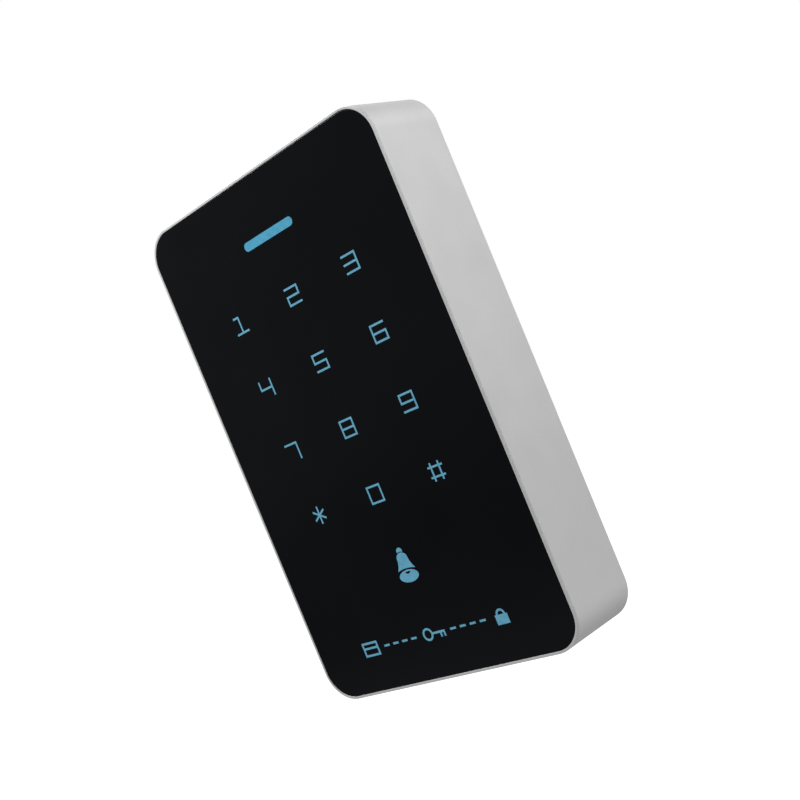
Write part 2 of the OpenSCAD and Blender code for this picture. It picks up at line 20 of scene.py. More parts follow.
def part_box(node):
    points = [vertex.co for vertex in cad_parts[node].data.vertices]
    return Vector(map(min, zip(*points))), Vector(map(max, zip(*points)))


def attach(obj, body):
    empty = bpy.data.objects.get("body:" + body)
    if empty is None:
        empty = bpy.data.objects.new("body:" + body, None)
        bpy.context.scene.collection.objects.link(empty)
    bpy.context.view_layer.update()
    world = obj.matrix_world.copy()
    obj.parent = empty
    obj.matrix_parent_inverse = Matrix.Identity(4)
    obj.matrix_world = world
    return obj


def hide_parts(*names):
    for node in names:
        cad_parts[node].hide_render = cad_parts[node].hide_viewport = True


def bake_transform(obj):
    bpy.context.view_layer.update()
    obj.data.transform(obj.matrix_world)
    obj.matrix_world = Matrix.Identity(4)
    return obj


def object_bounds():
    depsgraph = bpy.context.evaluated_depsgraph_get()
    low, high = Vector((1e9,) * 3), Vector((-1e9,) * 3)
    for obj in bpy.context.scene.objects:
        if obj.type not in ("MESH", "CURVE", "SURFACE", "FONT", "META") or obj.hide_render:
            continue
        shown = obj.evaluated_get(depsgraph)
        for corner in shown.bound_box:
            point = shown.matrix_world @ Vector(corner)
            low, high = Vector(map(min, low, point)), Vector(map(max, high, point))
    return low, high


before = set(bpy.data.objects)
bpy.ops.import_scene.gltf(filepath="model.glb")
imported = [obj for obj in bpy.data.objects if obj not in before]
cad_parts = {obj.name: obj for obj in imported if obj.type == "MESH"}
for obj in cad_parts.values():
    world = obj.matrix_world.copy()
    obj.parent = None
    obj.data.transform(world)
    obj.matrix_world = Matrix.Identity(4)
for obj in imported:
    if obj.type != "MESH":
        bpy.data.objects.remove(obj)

cad_low, cad_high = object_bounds()
MM = 0.001
print("the object measures, in mm:", [round(side / MM, 1) for side in cad_high - cad_low])

# %% [markdown]
# ## The camera
#
# The reader is seen from its right, at about its own height, with the camera rolled on its side. The
# roll makes the slab lean, though it hangs straight. A long lens would flatten it, so the camera stands
# near, at about a quarter of a metre, and the far side shrinks as it does to the eye. The small vertical
# shift is what a product photographer's shift lens does to keep the upright edges calm.

# %% The camera
def new_object(name, data):
    """Makes an object from a mesh, camera or lamp and puts it in the scene."""
    made = bpy.data.objects.new(name, data)
    bpy.context.scene.collection.objects.link(made)
    return made


AIM = Vector((10.5, -20.8, -10.8)) * MM
CAMERA_DISTANCE = 271.5 * MM
CAMERA_AZIMUTH = math.radians(42.5)
CAMERA_ELEVATION = math.radians(0.9)
CAMERA_ROLL = math.radians(-22.5)

camera_data = bpy.data.cameras.new("studio_camera")
camera_data.lens = 57.9
camera_data.sensor_width = 36
camera_data.shift_y = 0.075
camera_data.clip_start = 0.01
camera = new_object("studio_camera", camera_data)
bpy.context.scene.camera = camera

camera_side = Vector((
    math.sin(CAMERA_AZIMUTH) * math.cos(CAMERA_ELEVATION),
    -math.cos(CAMERA_AZIMUTH) * math.cos(CAMERA_ELEVATION),
    math.sin(CAMERA_ELEVATION)))
camera.location = AIM + camera_side * CAMERA_DISTANCE
looking = (-camera_side).to_track_quat("-Z", "Y").to_matrix().to_4x4()
camera.rotation_euler = (looking @ Matrix.Rotation(CAMERA_ROLL, 4, "Z")).to_euler()
print("camera at, in mm:", [round(c / MM) for c in camera.location])

# %% [markdown]
# ## Colours and nodes
#
# A maker's colour is written the way a paint chart or a web page gives it, as a hex value in sRGB. The
# shader works with linear light, so one function turns the one into the other. Another small function
# adds a node, sets its properties and fills or links its sockets, which keeps each recipe short.

# %% Helpers for colours and nodes
def linear(hex_colour):
    """Turns a hex colour in sRGB to the linear values that a shader takes."""
    channels = [int(hex_colour[i:i + 2], 16) / 255 for i in (1, 3, 5)]
    curve = [c / 12.92 if c <= 0.04045 else ((c + 0.055) / 1.055) ** 2.4 for c in channels]
    return (*curve, 1.0)


def add_node(tree, kind, inputs=None, **settings):
    """Adds a node with its settings. An input is filled with a value or linked to a socket."""
    node = tree.nodes.new(kind)
    for name, value in settings.items():
        setattr(node, name, value)
    for key, value in (inputs or {}).items():
        if isinstance(value, bpy.types.NodeSocket):
            tree.links.new(value, node.inputs[key])
        else:
            node.inputs[key].default_value = value
    return node


def start_material(name, **shader_inputs):
    """A material of that name with one principled shader, whose constant inputs are set here."""
    material = bpy.data.materials.new(name)
    material.use_nodes = True
    shader = material.node_tree.nodes["Principled BSDF"]
    for key, value in shader_inputs.items():
        shader.inputs[key.replace("_", " ")].default_value = value
    return material, material.node_tree, shader


def mottle(tree, size, detail=2.0, roughness=0.5):
    """Noise whose patches are that many metres across, fixed to the object."""
    place = add_node(tree, "ShaderNodeTexCoord").outputs["Object"]
    return add_node(tree, "ShaderNodeTexNoise", {
        "Vector": place, "Scale": 1 / size, "Detail": detail, "Roughness": roughness}).outputs["Fac"]


def between(tree, factor, low, high):
    """Spreads a factor between two numbers."""
    return add_node(tree, "ShaderNodeMapRange", {
        "Value": factor, "From Min": 0.3, "From Max": 0.7, "To Min": low, "To Max": high}).outputs["Result"]


def mix_colours(tree, factor, first, second):
    """Blends two colours or colour sockets. The mix node keeps its colour inputs in places 6 and 7."""
    return add_node(tree, "ShaderNodeMix", {0: factor, 6: first, 7: second},
                    data_type="RGBA").outputs[2]


def two_tones(tree, factor, dark, light):
    """Blends two hex colours by a factor."""
    return mix_colours(tree, between(tree, factor, 0.0, 1.0), linear(dark), linear(light))


def relief(tree, height, depth):
    """A bump of that many metres."""
    return add_node(tree, "ShaderNodeBump", {
        "Height": height, "Distance": depth, "Strength": 1.0}).outputs["Normal"]


print("helpers ready")

# %% [markdown]
# ## The outer finishes
#
# The frame is zinc, cast under pressure and sprayed with a satin silver lacquer. Such a lacquer holds
# aluminium flakes of about a tenth of a millimetre, so it is a little metallic, and it dries with a
# faint orange peel about a millimetre across. The panel is cast acrylic printed black on its back, with
# a hard coat in front: deep black, smooth, and only a little shiny because the coat is a matt one.

# %% Satin silver lacquer
def satin_silver_lacquer():
    """The frame's lacquer: light grey metal flake under a satin clear coat."""
    material, tree, shader = start_material(
        "satin silver lacquer on die-cast zinc", Metallic=0.22, Coat_Weight=0.15, Coat_Roughness=0.32)
    flakes = add_node(tree, "ShaderNodeTexVoronoi", {
        "Vector": add_node(tree, "ShaderNodeTexCoord").outputs["Object"], "Scale": 1 / (0.12 * MM)})
    flake_shade = add_node(tree, "ShaderNodeSeparateColor", {"Color": flakes.outputs["Color"]})
    tone = two_tones(tree, mottle(tree, 30 * MM), "#C6C6C6", "#CACACA")
    sparkle = mix_colours(tree, 0.04, tone, flake_shade.outputs["Red"])
    tree.links.new(sparkle, shader.inputs["Base Color"])
    tree.links.new(between(tree, mottle(tree, 8 * MM), 0.40, 0.47), shader.inputs["Roughness"])
    tree.links.new(relief(tree, mottle(tree, 0.9 * MM), 0.0015 * MM), shader.inputs["Normal"])
    return material


LACQUER = satin_silver_lacquer()
print("made", LACQUER.name)

# %% Black acrylic with a matt hard coat
def hard_coated_black_acrylic():
    """The panel's gloss black sheet with its hard coat."""
    material, tree, shader = start_material(
        "black-backed acrylic, hard coated", IOR=1.49, Specular_IOR_Level=0.09)
    tree.links.new(two_tones(tree, mottle(tree, 25 * MM), "#0C0D10", "#0E0F12"), shader.inputs["Base Color"])
    tree.links.new(between(tree, mottle(tree, 12 * MM, detail=4), 0.13, 0.18), shader.inputs["Roughness"])
    tree.links.new(relief(tree, mottle(tree, 0.4 * MM), 0.0004 * MM), shader.inputs["Normal"])
    return material


ACRYLIC = hard_coated_black_acrylic()
print("made", ACRYLIC.name)

# %% Lit blue ink
# The legends are screen printed in a translucent blue ink and glow faintly from the LEDs behind. The
# ink lies a little uneven, and a fine half-tone screen of 0.15 mm dots shows in it close up.
def lit_blue_ink(name, dark, light, glow):
    """Translucent ink with the keys' light behind it."""
    material, tree, shader = start_material(name, IOR=1.5, Specular_IOR_Level=0.3)
    ink = two_tones(tree, mottle(tree, 1.2 * MM, detail=3), dark, light)
    screen = add_node(tree, "ShaderNodeTexVoronoi", {
        "Vector": add_node(tree, "ShaderNodeTexCoord").outputs["Object"], "Scale": 1 / (0.15 * MM)})
    dots = mix_colours(tree, between(tree, screen.outputs["Distance"], 0.0, 0.12), ink, linear(dark))
    tree.links.new(dots, shader.inputs["Base Color"])
    tree.links.new(dots, shader.inputs["Emission Color"])
    shader.inputs["Emission Strength"].default_value = glow
    tree.links.new(between(tree, mottle(tree, 2 * MM), 0.35, 0.5), shader.inputs["Roughness"])
    return material


INK = lit_blue_ink("translucent blue screen ink", "#5797B2", "#65A4BF", 0.15)
BAR_LIGHT = lit_blue_ink("translucent blue status bar", "#3F8DAC", "#499ABA", 0.15)
print("made", INK.name, "and", BAR_LIGHT.name)

# %% [markdown]
# ## The inner and rear finishes
#
# Behind the panel everything is ordinary electronics: glass-epoxy board, moulded epoxy chips, nylon
# and ABS mouldings, plated steel. Each recipe starts from what the stuff is and how it was made. Most
# need only a slow change of tone and the right kind of small relief.

# %% Plastics and rubbers
def moulding(name, dark, light, gloss, grain, depth, ior=1.5):
    """Moulded plastic or rubber: two close tones, a roughness, and the grain its mould left."""
    material, tree, shader = start_material(name, IOR=ior)
    tree.links.new(two_tones(tree, mottle(tree, 6 * MM), dark, light), shader.inputs["Base Color"])
    tree.links.new(between(tree, mottle(tree, 3 * MM), gloss - 0.05, gloss + 0.05),
                   shader.inputs["Roughness"])
    tree.links.new(relief(tree, mottle(tree, grain), depth), shader.inputs["Normal"])
    return material


SPARKED_ABS = moulding("black ABS from a spark-eroded mould", "#1B1C1E", "#232427", 0.55, 0.35 * MM,
                       0.012 * MM)
WHITE_NYLON = moulding("natural white nylon", "#D9D6CB", "#E4E1D8", 0.42, 0.8 * MM, 0.002 * MM, 1.53)
RUBBER = moulding("black EPDM rubber", "#151515", "#1E1E1E", 0.72, 0.5 * MM, 0.01 * MM, 1.52)
FOAM = moulding("grey acrylic foam tape", "#3A3B3C", "#454647", 0.9, 0.25 * MM, 0.03 * MM, 1.45)
EPOXY = moulding("moulded black epoxy", "#161617", "#1E1E20", 0.6, 0.12 * MM, 0.006 * MM, 1.57)
RELAY_PBT = moulding("orange moulded PBT", "#B4561B", "#C1611F", 0.4, 0.6 * MM, 0.004 * MM, 1.54)
FERRITE = moulding("sintered ferrite", "#2A2A2C", "#363638", 0.75, 0.15 * MM, 0.015 * MM, 1.6)
DIPPED_EPOXY = moulding("blue dipped epoxy", "#1C4F9E", "#235AAE", 0.35, 1.5 * MM, 0.02 * MM, 1.55)
CERAMIC = moulding("fired brown ceramic", "#8E7350", "#9D8260", 0.5, 0.2 * MM, 0.004 * MM, 1.6)
print("made the plastics and rubbers")

# %% Metals
def metal(name, dark, light, gloss, grain, depth, stretch=(1, 1, 1)):
    """Bare or plated metal: a brushed or rolled grain is noise stretched along one axis."""
    material, tree, shader = start_material(name, Metallic=1.0)
    place = add_node(tree, "ShaderNodeTexCoord").outputs["Object"]
    along = add_node(tree, "ShaderNodeMapping", {"Vector": place, "Scale": stretch}).outputs["Vector"]
    lines = add_node(tree, "ShaderNodeTexNoise", {
        "Vector": along, "Scale": 1 / grain, "Detail": 3.0}).outputs["Fac"]
    tree.links.new(two_tones(tree, mottle(tree, 9 * MM), dark, light), shader.inputs["Base Color"])
    tree.links.new(between(tree, lines, gloss - 0.07, gloss + 0.07), shader.inputs["Roughness"])
    tree.links.new(relief(tree, lines, depth), shader.inputs["Normal"])
    return material


ZINC_PLATE = metal("zinc plated sheet steel", "#A9ADB0", "#BDC1C3", 0.38, 0.4 * MM, 0.002 * MM, (1, 1, 0.05))
BRIGHT_STEEL = metal("bright nickel plated steel", "#C2C3C2", "#D0D1D0", 0.24, 0.3 * MM, 0.001 * MM)
DRAWN_ALUMINIUM = metal("drawn aluminium can", "#C9CBCD", "#D6D8D9", 0.3, 0.3 * MM, 0.001 * MM, (1, 0.1, 1))
GOLD_PLATE = metal("gold flashed contact", "#D9B45A", "#E5C26B", 0.25, 0.2 * MM, 0.0005 * MM)
TINNED = metal("tinned lead", "#BFC0BE", "#CDCECC", 0.33, 0.15 * MM, 0.001 * MM)
COPPER_WIRE = metal("enamelled copper wire", "#A4532B", "#B8643A", 0.28, 0.3 * MM, 0.001 * MM)
print("made the metals")

# %% [markdown]
# ## Floor and light
#
# A product studio: a wide pale floor, a bright white room behind, and two soft boxes. One stands to the
# right and a little above, for the side wall. The other hangs above and in front, for the rim. Both are
# near, so the wall and the rim are brightest at the top and fall off towards the foot. A lamp much
# higher up would burn out the rounded top corner. Neither stands where the panel would mirror it into
# the camera, because a smooth black surface shows only what it mirrors.

# %% The floor
FLOOR_DROP = 0.06          # metres between the object and the floor, as it hangs on a stand
FLOOR_SIDE = 6.0

floor_mesh = bpy.data.meshes.new("floor")
half_side = FLOOR_SIDE / 2
floor_z = cad_low.z - FLOOR_DROP
floor_mesh.from_pydata(
    [(x, y, floor_z) for x, y in ((-half_side, -half_side), (half_side, -half_side),
                                  (half_side, half_side), (-half_side, half_side))],
    [], [(0, 1, 2, 3)])
floor = new_object("floor", floor_mesh)


def white_paper():
    """Seamless white paper: a matt white that the camera sees lit up evenly, as an overexposed sweep."""
    material, tree, shader = start_material("seamless white paper", Roughness=0.9)
    tree.links.new(two_tones(tree, mottle(tree, 0.4), "#B2B2B2", "#B8B8B8"), shader.inputs["Base Color"])
    seen = add_node(tree, "ShaderNodeLightPath").outputs["Is Camera Ray"]
    shader.inputs["Emission Color"].default_value = (1, 1, 1, 1)
    tree.links.new(seen, shader.inputs["Emission Strength"])
    return material


floor.data.materials.append(white_paper())
print("floor at z =", round(floor_z / MM), "mm")

# %% The room and the lamps
ROOM_GREY = 0.28           # how bright the room is for everything but the camera

world = bpy.data.worlds.new("studio room")
bpy.context.scene.world = world
world.use_nodes = True
room = world.node_tree
sees = add_node(room, "ShaderNodeLightPath").outputs["Is Camera Ray"]
brightness = add_node(room, "ShaderNodeMapRange", {"Value": sees, "To Min": ROOM_GREY, "To Max": 1.0})
room.links.new(brightness.outputs["Result"], room.nodes["Background"].inputs["Strength"])
room.nodes["Background"].inputs["Color"].default_value = (1, 1, 1, 1)


def soft_box(name, place, aim, side, watts):
    """A square area lamp of that side, in metres, turned towards a point."""
    lamp = bpy.data.lights.new(name, "AREA")
    lamp.shape = "SQUARE"
    lamp.size = side
    lamp.energy = watts
    box = new_object(name, lamp)
    box.location = place
    box.rotation_euler = (Vector(aim) - Vector(place)).to_track_quat("-Z", "Y").to_euler()


soft_box("side_soft_box", (0.30, 0.05, 0.18), (0.038, -0.01, 0.0), 0.20, 0.98)
soft_box("top_soft_box", (-0.15, -0.14, 0.27), (0, -0.02, 0.02), 0.12, 1.45)
bpy.context.scene.view_settings.view_transform = "Standard"
print("studio lit")

# %% [markdown]
# ## The frame, swept round
#
# The frame has one cross-section all the way round: a narrow rim beside the panel, a softly rounded
# front edge, a fine groove where the mould halves met, a plain side, and a ledge inside. A shape like
# that could be cut from a block, but it's truer to run the section along the rounded rectangle, as a
# moulding plane would. Geometry nodes do it: the section is a small ring of edges, the path is a
# rectangle with filleted corners, and Curve to Mesh joins the two.

# %% Helpers for geometry trees and pieces
def start_tree(name, inputs):
    """A geometry tree with named inputs. Returns the tree and what its group input gives."""
    tree = bpy.data.node_groups.new(name, "GeometryNodeTree")
    tree.interface.new_socket("Geometry", in_out="INPUT", socket_type="NodeSocketGeometry")
    for label, value in inputs.items():
        kind = "NodeSocketInt" if isinstance(value, int) else "NodeSocketFloat"
        tree.interface.new_socket(label, in_out="INPUT", socket_type=kind)
    tree.interface.new_socket("Geometry", in_out="OUTPUT", socket_type="NodeSocketGeometry")
    return tree, add_node(tree, "NodeGroupInput").outputs


def end_tree(tree, geometry, material):
    """Every tree ends alike: instances made real, one material, and the result sent out."""
    real = add_node(tree, "GeometryNodeRealizeInstances", {"Geometry": geometry}).outputs["Geometry"]
    dressed = add_node(tree, "GeometryNodeSetMaterial", {"Geometry": real, "Material": material})
    add_node(tree, "NodeGroupOutput", {"Geometry": dressed.outputs["Geometry"]})


def make_plain(piece):
    """Turns a piece with modifiers into a plain mesh."""
    bpy.context.view_layer.update()
    shown = piece.evaluated_get(bpy.context.evaluated_depsgraph_get())
    mesh = bpy.data.meshes.new_from_object(shown)
    piece.modifiers.clear()
    piece.data = mesh
    return piece


def shaped(name, build):
    """Turns a finished bmesh into a new object."""
    mesh = bpy.data.meshes.new(name)
    build.to_mesh(mesh)
    build.free()
    return new_object(name, mesh)


def closed(name, build):
    """The same for a closed shape, with every face turned outwards first."""
    bmesh.ops.recalc_face_normals(build, faces=build.faces)
    return shaped(name, build)


def point_outwards(piece):
    """Turns every face of a closed piece to the outside."""
    build = bmesh.new()
    build.from_mesh(piece.data)
    bmesh.ops.recalc_face_normals(build, faces=build.faces)
    build.to_mesh(piece.data)
    build.free()
    return piece


def ring_at(build, x, y, z, radius, steps):
    """A ring of points about an axis along Y."""
    turns = [2 * math.pi * i / steps for i in range(steps)]
    return [build.verts.new((x + radius * math.cos(t), y, z + radius * math.sin(t))) for t in turns]


def bridge(build, rings, capped=True):
    """Joins each ring of points to the next with a band of faces, and closes the ends."""
    for near, far in zip(rings, rings[1:]):
        for i in range(len(near)):
            j = (i + 1) % len(near)
            build.faces.new(dict.fromkeys((near[i], near[j], far[j], far[i])))
    if capped:
        build.faces.new(rings[0])
        build.faces.new(rings[-1])


def cut_away(piece, knife, overlapping=False):
    """Cuts the knife out of a piece and removes it. Parts that overlap are made one as well."""
    cut = piece.modifiers.new("cut", "BOOLEAN")
    cut.object = knife
    cut.operation = "DIFFERENCE"
    cut.solver = "EXACT"
    cut.use_self = overlapping
    make_plain(piece)
    bpy.data.objects.remove(knife)


def grow(name, tree, inputs, start):
    """Runs a geometry tree on a starting mesh and keeps the result as a plain mesh."""
    piece = new_object(name, start)
    modifier = piece.modifiers.new("grow", "NODES")
    modifier.node_group = tree
    sockets = {s.name: s.identifier for s in tree.interface.items_tree if s.in_out == "INPUT"}
    for label, value in inputs.items():
        modifier[sockets[label]] = value
    return make_plain(piece)


def soften_shading(piece, sharp_degrees=35):
    """Smooth shading that keeps edges sharper than the angle, with flat faces kept flat."""
    piece.data.shade_smooth()
    piece.data.set_sharp_from_angle(angle=math.radians(sharp_degrees))
    weigh = piece.modifiers.new("weigh", "WEIGHTED_NORMAL")
    weigh.keep_sharp = True
    return make_plain(piece)


def settle(piece, body, material, slot, *nodes):
    """Gives a finished piece its material and its body if it has just one, and hides the model solids it
    stands for.
    """
    piece.data.materials.clear()
    piece.data.materials.append(material)
    if body:
        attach(piece, body)
    if nodes:
        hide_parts(*nodes)
    print(piece.name, "has", len(piece.data.polygons), "faces")
    return piece


# %% The sweep tree
def section_mesh(name, points):
    """A closed ring of edges through the points, each (inset, depth) in metres."""
    mesh = bpy.data.meshes.new(name)
    count = len(points)
    mesh.from_pydata([(-inset, y, 0) for inset, y in points],
                     [(i, (i + 1) % count) for i in range(count)], [])
    return mesh


def sweep_tree(material):
    """The tree that sweeps a section round a rounded rectangle."""
    sizes = {"Width": 0.0, "Height": 0.0, "Corner radius": 0.0, "Corner steps": 1}
    tree, given = start_tree("sweep a section round a rounded rectangle", sizes)
    section = add_node(tree, "GeometryNodeMeshToCurve", {"Mesh": given["Geometry"]})
    rectangle = add_node(tree, "GeometryNodeCurvePrimitiveQuadrilateral", {
        "Width": given["Width"], "Height": given["Height"]})
    path = add_node(tree, "GeometryNodeFilletCurve", {
        "Curve": rectangle.outputs["Curve"], "Count": given["Corner steps"],
        "Radius": given["Corner radius"]}, mode="POLY")
    level = add_node(tree, "GeometryNodeSetCurveNormal", {"Curve": path.outputs["Curve"]}, mode="Z_UP")
    swept = add_node(tree, "GeometryNodeCurveToMesh", {
        "Curve": level.outputs["Curve"], "Profile Curve": section.outputs["Curve"]})
    upright = add_node(tree, "GeometryNodeTransform", {
        "Geometry": swept.outputs["Mesh"], "Rotation": (math.pi / 2, 0, 0)})
    end_tree(tree, upright.outputs["Geometry"], material)
    return tree


def sweep_round(name, width, height, radius, section, material, steps=24):
    """Sweeps a section mesh round an upright rectangle with filleted corners."""
    sizes = {"Width": width, "Height": height, "Corner radius": radius, "Corner steps": steps}
    return point_outwards(grow(name, sweep_tree(material), sizes, section))


def arc(centre, radius, start, end, steps):
    """Points of an arc, angles in degrees from the inset axis."""
    turns = [math.radians(start + (end - start) * i / steps) for i in range(steps + 1)]
    return [(centre[0] + radius * math.cos(t), centre[1] + radius * math.sin(t)) for t in turns]


print("sweep ready")

# %% Sizes taken from the model
frame_low, frame_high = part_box("housing_frame")
panel_low, panel_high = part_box("front_panel")
tape_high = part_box("panel_tape")[1]
seal_low, seal_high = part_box("rear_seal")
board_low, board_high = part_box("main_board")

BODY_W = frame_high.x - frame_low.x
BODY_H = frame_high.z - frame_low.z
CORNER_R = 7.6 * MM
FRONT = frame_low.y
REAR = frame_high.y
LEDGE_FRONT = tape_high.y
LEDGE_BACK = LEDGE_FRONT + 1.5 * MM
print("front plane at", round(FRONT / MM, 2), "mm, rear edge at", round(REAR / MM, 2), "mm")

# %% The frame's section
RIM_W = 0.6 * MM           # the narrow flat face beside the panel
OUTER_ROUND = 0.12 * MM    # the rounded front edge
INNER_ROUND = 0.06 * MM
WALL = 2.4 * MM
REAR_WALL = 1.2 * MM
LEDGE_INSET = 6.0 * MM
REAR_ROUND = 0.25 * MM
EASE = 0.15 * MM           # the small radius on the edges inside
GROOVE_Y = FRONT + 0.32 * MM
GROOVE_SIDE = [(0, 0.175), (0.045, 0.1), (0.15, 0.05)]   # (depth, distance from its middle), in mm

outer_edge = arc((OUTER_ROUND, FRONT + OUTER_ROUND), OUTER_ROUND, 180, 270, 8)
inner_edge = arc((RIM_W - INNER_ROUND, FRONT + INNER_ROUND), INNER_ROUND, 270, 360, 4)
rear_edge = arc((REAR_ROUND, REAR - REAR_ROUND), REAR_ROUND, 90, 180, 5)
frame_section = outer_edge + inner_edge + [
    (RIM_W, LEDGE_FRONT), (LEDGE_INSET - EASE, LEDGE_FRONT), (LEDGE_INSET, LEDGE_FRONT + EASE),
    (LEDGE_INSET, LEDGE_BACK), (WALL, LEDGE_BACK), (WALL, seal_low.y), (REAR_WALL, seal_low.y),
    (REAR_WALL, REAR - EASE), (REAR_WALL - EASE, REAR)] + rear_edge
frame_section += [(depth * MM, GROOVE_Y + away * MM) for depth, away in GROOVE_SIDE]
frame_section += [(depth * MM, GROOVE_Y - away * MM) for depth, away in reversed(GROOVE_SIDE)]
housing = sweep_round("die_cast_frame", BODY_W, BODY_H, CORNER_R,
                      section_mesh("frame_section", frame_section), LACQUER)
print("the section has", len(frame_section), "points")

# %% [markdown]
# Inside the frame stand four posts for the cover's screws, four for the board's, and a block in the
# bottom wall with the thread of the lock screw. They are plain turned and squared shapes, so they are
# added straight to the mesh. The screws' holes are cut last, all at once, with one set of pins.

# %% Posts, block and holes
def add_post(build, x, z, radius, y0, y1, steps=24):
    """Adds a closed round post along Y to a bmesh."""
    bridge(build, [ring_at(build, x, y, z, radius, steps) for y in (y0, y1)])


def add_block(build, low, high):
    """Adds a closed box to a bmesh."""
    for vert in bmesh.ops.create_cube(build, size=1.0)["verts"]:
        vert.co = [low[k] if vert.co[k] < 0 else high[k] for k in range(3)]


cover_screw_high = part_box("cover_screws")[1]
board_screw_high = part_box("board_screws")[1]
lock_low, lock_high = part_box("lock_screw")
COVER_SCREW_HEAD_R = 2.2 * MM
BOARD_SCREW_HEAD_R = 1.9 * MM
COVER_SCREW_X = cover_screw_high.x - COVER_SCREW_HEAD_R
COVER_SCREW_Z = cover_screw_high.z - COVER_SCREW_HEAD_R
BOARD_SCREW_X = board_screw_high.x - BOARD_SCREW_HEAD_R
BOARD_SCREW_Z = board_screw_high.z - BOARD_SCREW_HEAD_R
COVER_FRONT = seal_high.y
LOCK_Y = (lock_low.y + lock_high.y) / 2
COVER_POST_R, COVER_THREAD_R, COVER_THREAD_L = 2.8 * MM, 1.28 * MM, 7 * MM
BOARD_POST_R, BOARD_THREAD_R, BOARD_THREAD_L = 2.0 * MM, 1.03 * MM, 2.4 * MM
LOCK_THREAD_R = 1.53 * MM
LOCK_BLOCK_HALF = Vector((4, 3.75, 2.1)) * MM
LOCK_BLOCK_MIDDLE = Vector((0, LOCK_Y, frame_low.z + 2.6 * MM))

build = bmesh.new()
build.from_mesh(housing.data)
pins = bmesh.new()
for sx in (-1, 1):
    for sz in (-1, 1):
        x, z = sx * COVER_SCREW_X, sz * COVER_SCREW_Z
        add_post(build, x, z, COVER_POST_R, LEDGE_BACK - 0.5 * MM, COVER_FRONT)
        add_post(pins, x, z, COVER_THREAD_R, COVER_FRONT - COVER_THREAD_L, COVER_FRONT + 1 * MM)
        x, z = sx * BOARD_SCREW_X, sz * BOARD_SCREW_Z
        add_post(build, x, z, BOARD_POST_R, LEDGE_BACK - 1 * MM, board_low.y)
        add_post(pins, x, z, BOARD_THREAD_R, board_low.y - BOARD_THREAD_L, board_low.y + 1 * MM)
add_block(build, LOCK_BLOCK_MIDDLE - LOCK_BLOCK_HALF, LOCK_BLOCK_MIDDLE + LOCK_BLOCK_HALF)
build.to_mesh(housing.data)
build.free()
point_outwards(housing)
bmesh.ops.create_cone(pins, cap_ends=True, segments=48, radius1=LOCK_THREAD_R, radius2=LOCK_THREAD_R,
                      depth=12 * MM, matrix=Matrix.Translation((0, LOCK_Y, frame_low.z)))
cut_away(housing, closed("pins", pins), overlapping=True)
soften_shading(housing)
settle(housing, "reader", LACQUER, "frame_paint", "housing_frame")

# %% [markdown]
# ## The touch panel
#
# One sheet of acrylic, 2 mm thick, cut with a laser and bonded in. Its front edge is eased by a tenth of
# a millimetre, which catches the light as a hairline. It could be a box with rounded corners, but the
# hairline is what tells glass from paint, so the edge is built ring by ring. The face lies two
# hundredths below the model's, so that the printed legends stand proud of it by the ink's thickness.

# %% The acrylic sheet
def rounded_ring(width, height, radius, inset, steps=16):
    """Points (x, z) of a rounded rectangle shrunk by an inset, counter-clockwise seen from the front."""
    r = max(radius - inset, 0.05 * MM)
    points = []
    for sx, sz, start in ((1, 1, 0), (-1, 1, 90), (-1, -1, 180), (1, -1, 270)):
        cx = sx * (width / 2 - inset - r)
        cz = sz * (height / 2 - inset - r)
        for i in range(steps + 1):
            turn = math.radians(start + 90 * i / steps)
            points.append((cx + r * math.cos(turn), cz + r * math.sin(turn)))
    return points


INK_STEP = 0.02 * MM
PANEL_EDGE = 0.12 * MM
BACK_EDGE = 0.05 * MM
PANEL_W = panel_high.x - panel_low.x
PANEL_H = panel_high.z - panel_low.z
PANEL_CORNER = CORNER_R - (BODY_W - PANEL_W) / 2
panel_front = panel_low.y + INK_STEP
panel_rings = [(PANEL_EDGE * (1 - math.sin(t)), panel_front + PANEL_EDGE * (1 - math.cos(t)))
               for t in [math.radians(15 * i) for i in range(7)]]
panel_rings += [(0, panel_high.y - BACK_EDGE), (BACK_EDGE, panel_high.y)]
build = bmesh.new()
bridge(build, [[build.verts.new((x, y, z)) for x, z in rounded_ring(PANEL_W, PANEL_H, PANEL_CORNER, inset)]
               for inset, y in panel_rings])
touch_panel = soften_shading(closed("touch_panel", build))
settle(touch_panel, "reader", ACRYLIC, "panel_black", "front_panel")

# %% [markdown]
# ## Pieces with eased edges
#
# No real edge is perfectly sharp: a mould leaves a small radius, and a punch rolls the edge of a sheet.
# Many pieces are right in the model except for that. So they are copied, their triangles are merged back
# into plain faces, and a bevel a tenth of a millimetre or two wide rounds what is left.

# %% Helpers for eased copies
def merged_copy(node):
    """The model solid as a bmesh whose doubled points are joined and whose flat faces are whole."""
    build = bmesh.new()
    build.from_mesh(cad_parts[node].data)
    bmesh.ops.remove_doubles(build, verts=build.verts, dist=0.001 * MM)
    bmesh.ops.dissolve_limit(build, angle_limit=math.radians(0.5), verts=build.verts, edges=build.edges)
    return build


def round_edges(piece, width, segments=2, sharp_degrees=40):
    """Rounds the edges sharper than the angle."""
    bevel = piece.modifiers.new("ease", "BEVEL")
    bevel.width = width
    bevel.segments = segments
    bevel.limit_method = "ANGLE"
    bevel.angle_limit = math.radians(sharp_degrees)
    make_plain(piece)
    return soften_shading(piece)


def eased(name, node, width, segments=2):
    """A copy of a model solid with rounded edges."""
    return round_edges(shaped(name, merged_copy(node)), width, segments)


def second_material(piece, material, test):
    """Gives a second material to the faces whose centres pass a test."""
    piece.data.materials.append(material)
    for face in piece.data.polygons:
        if test(face.center):
            face.material_index = 1


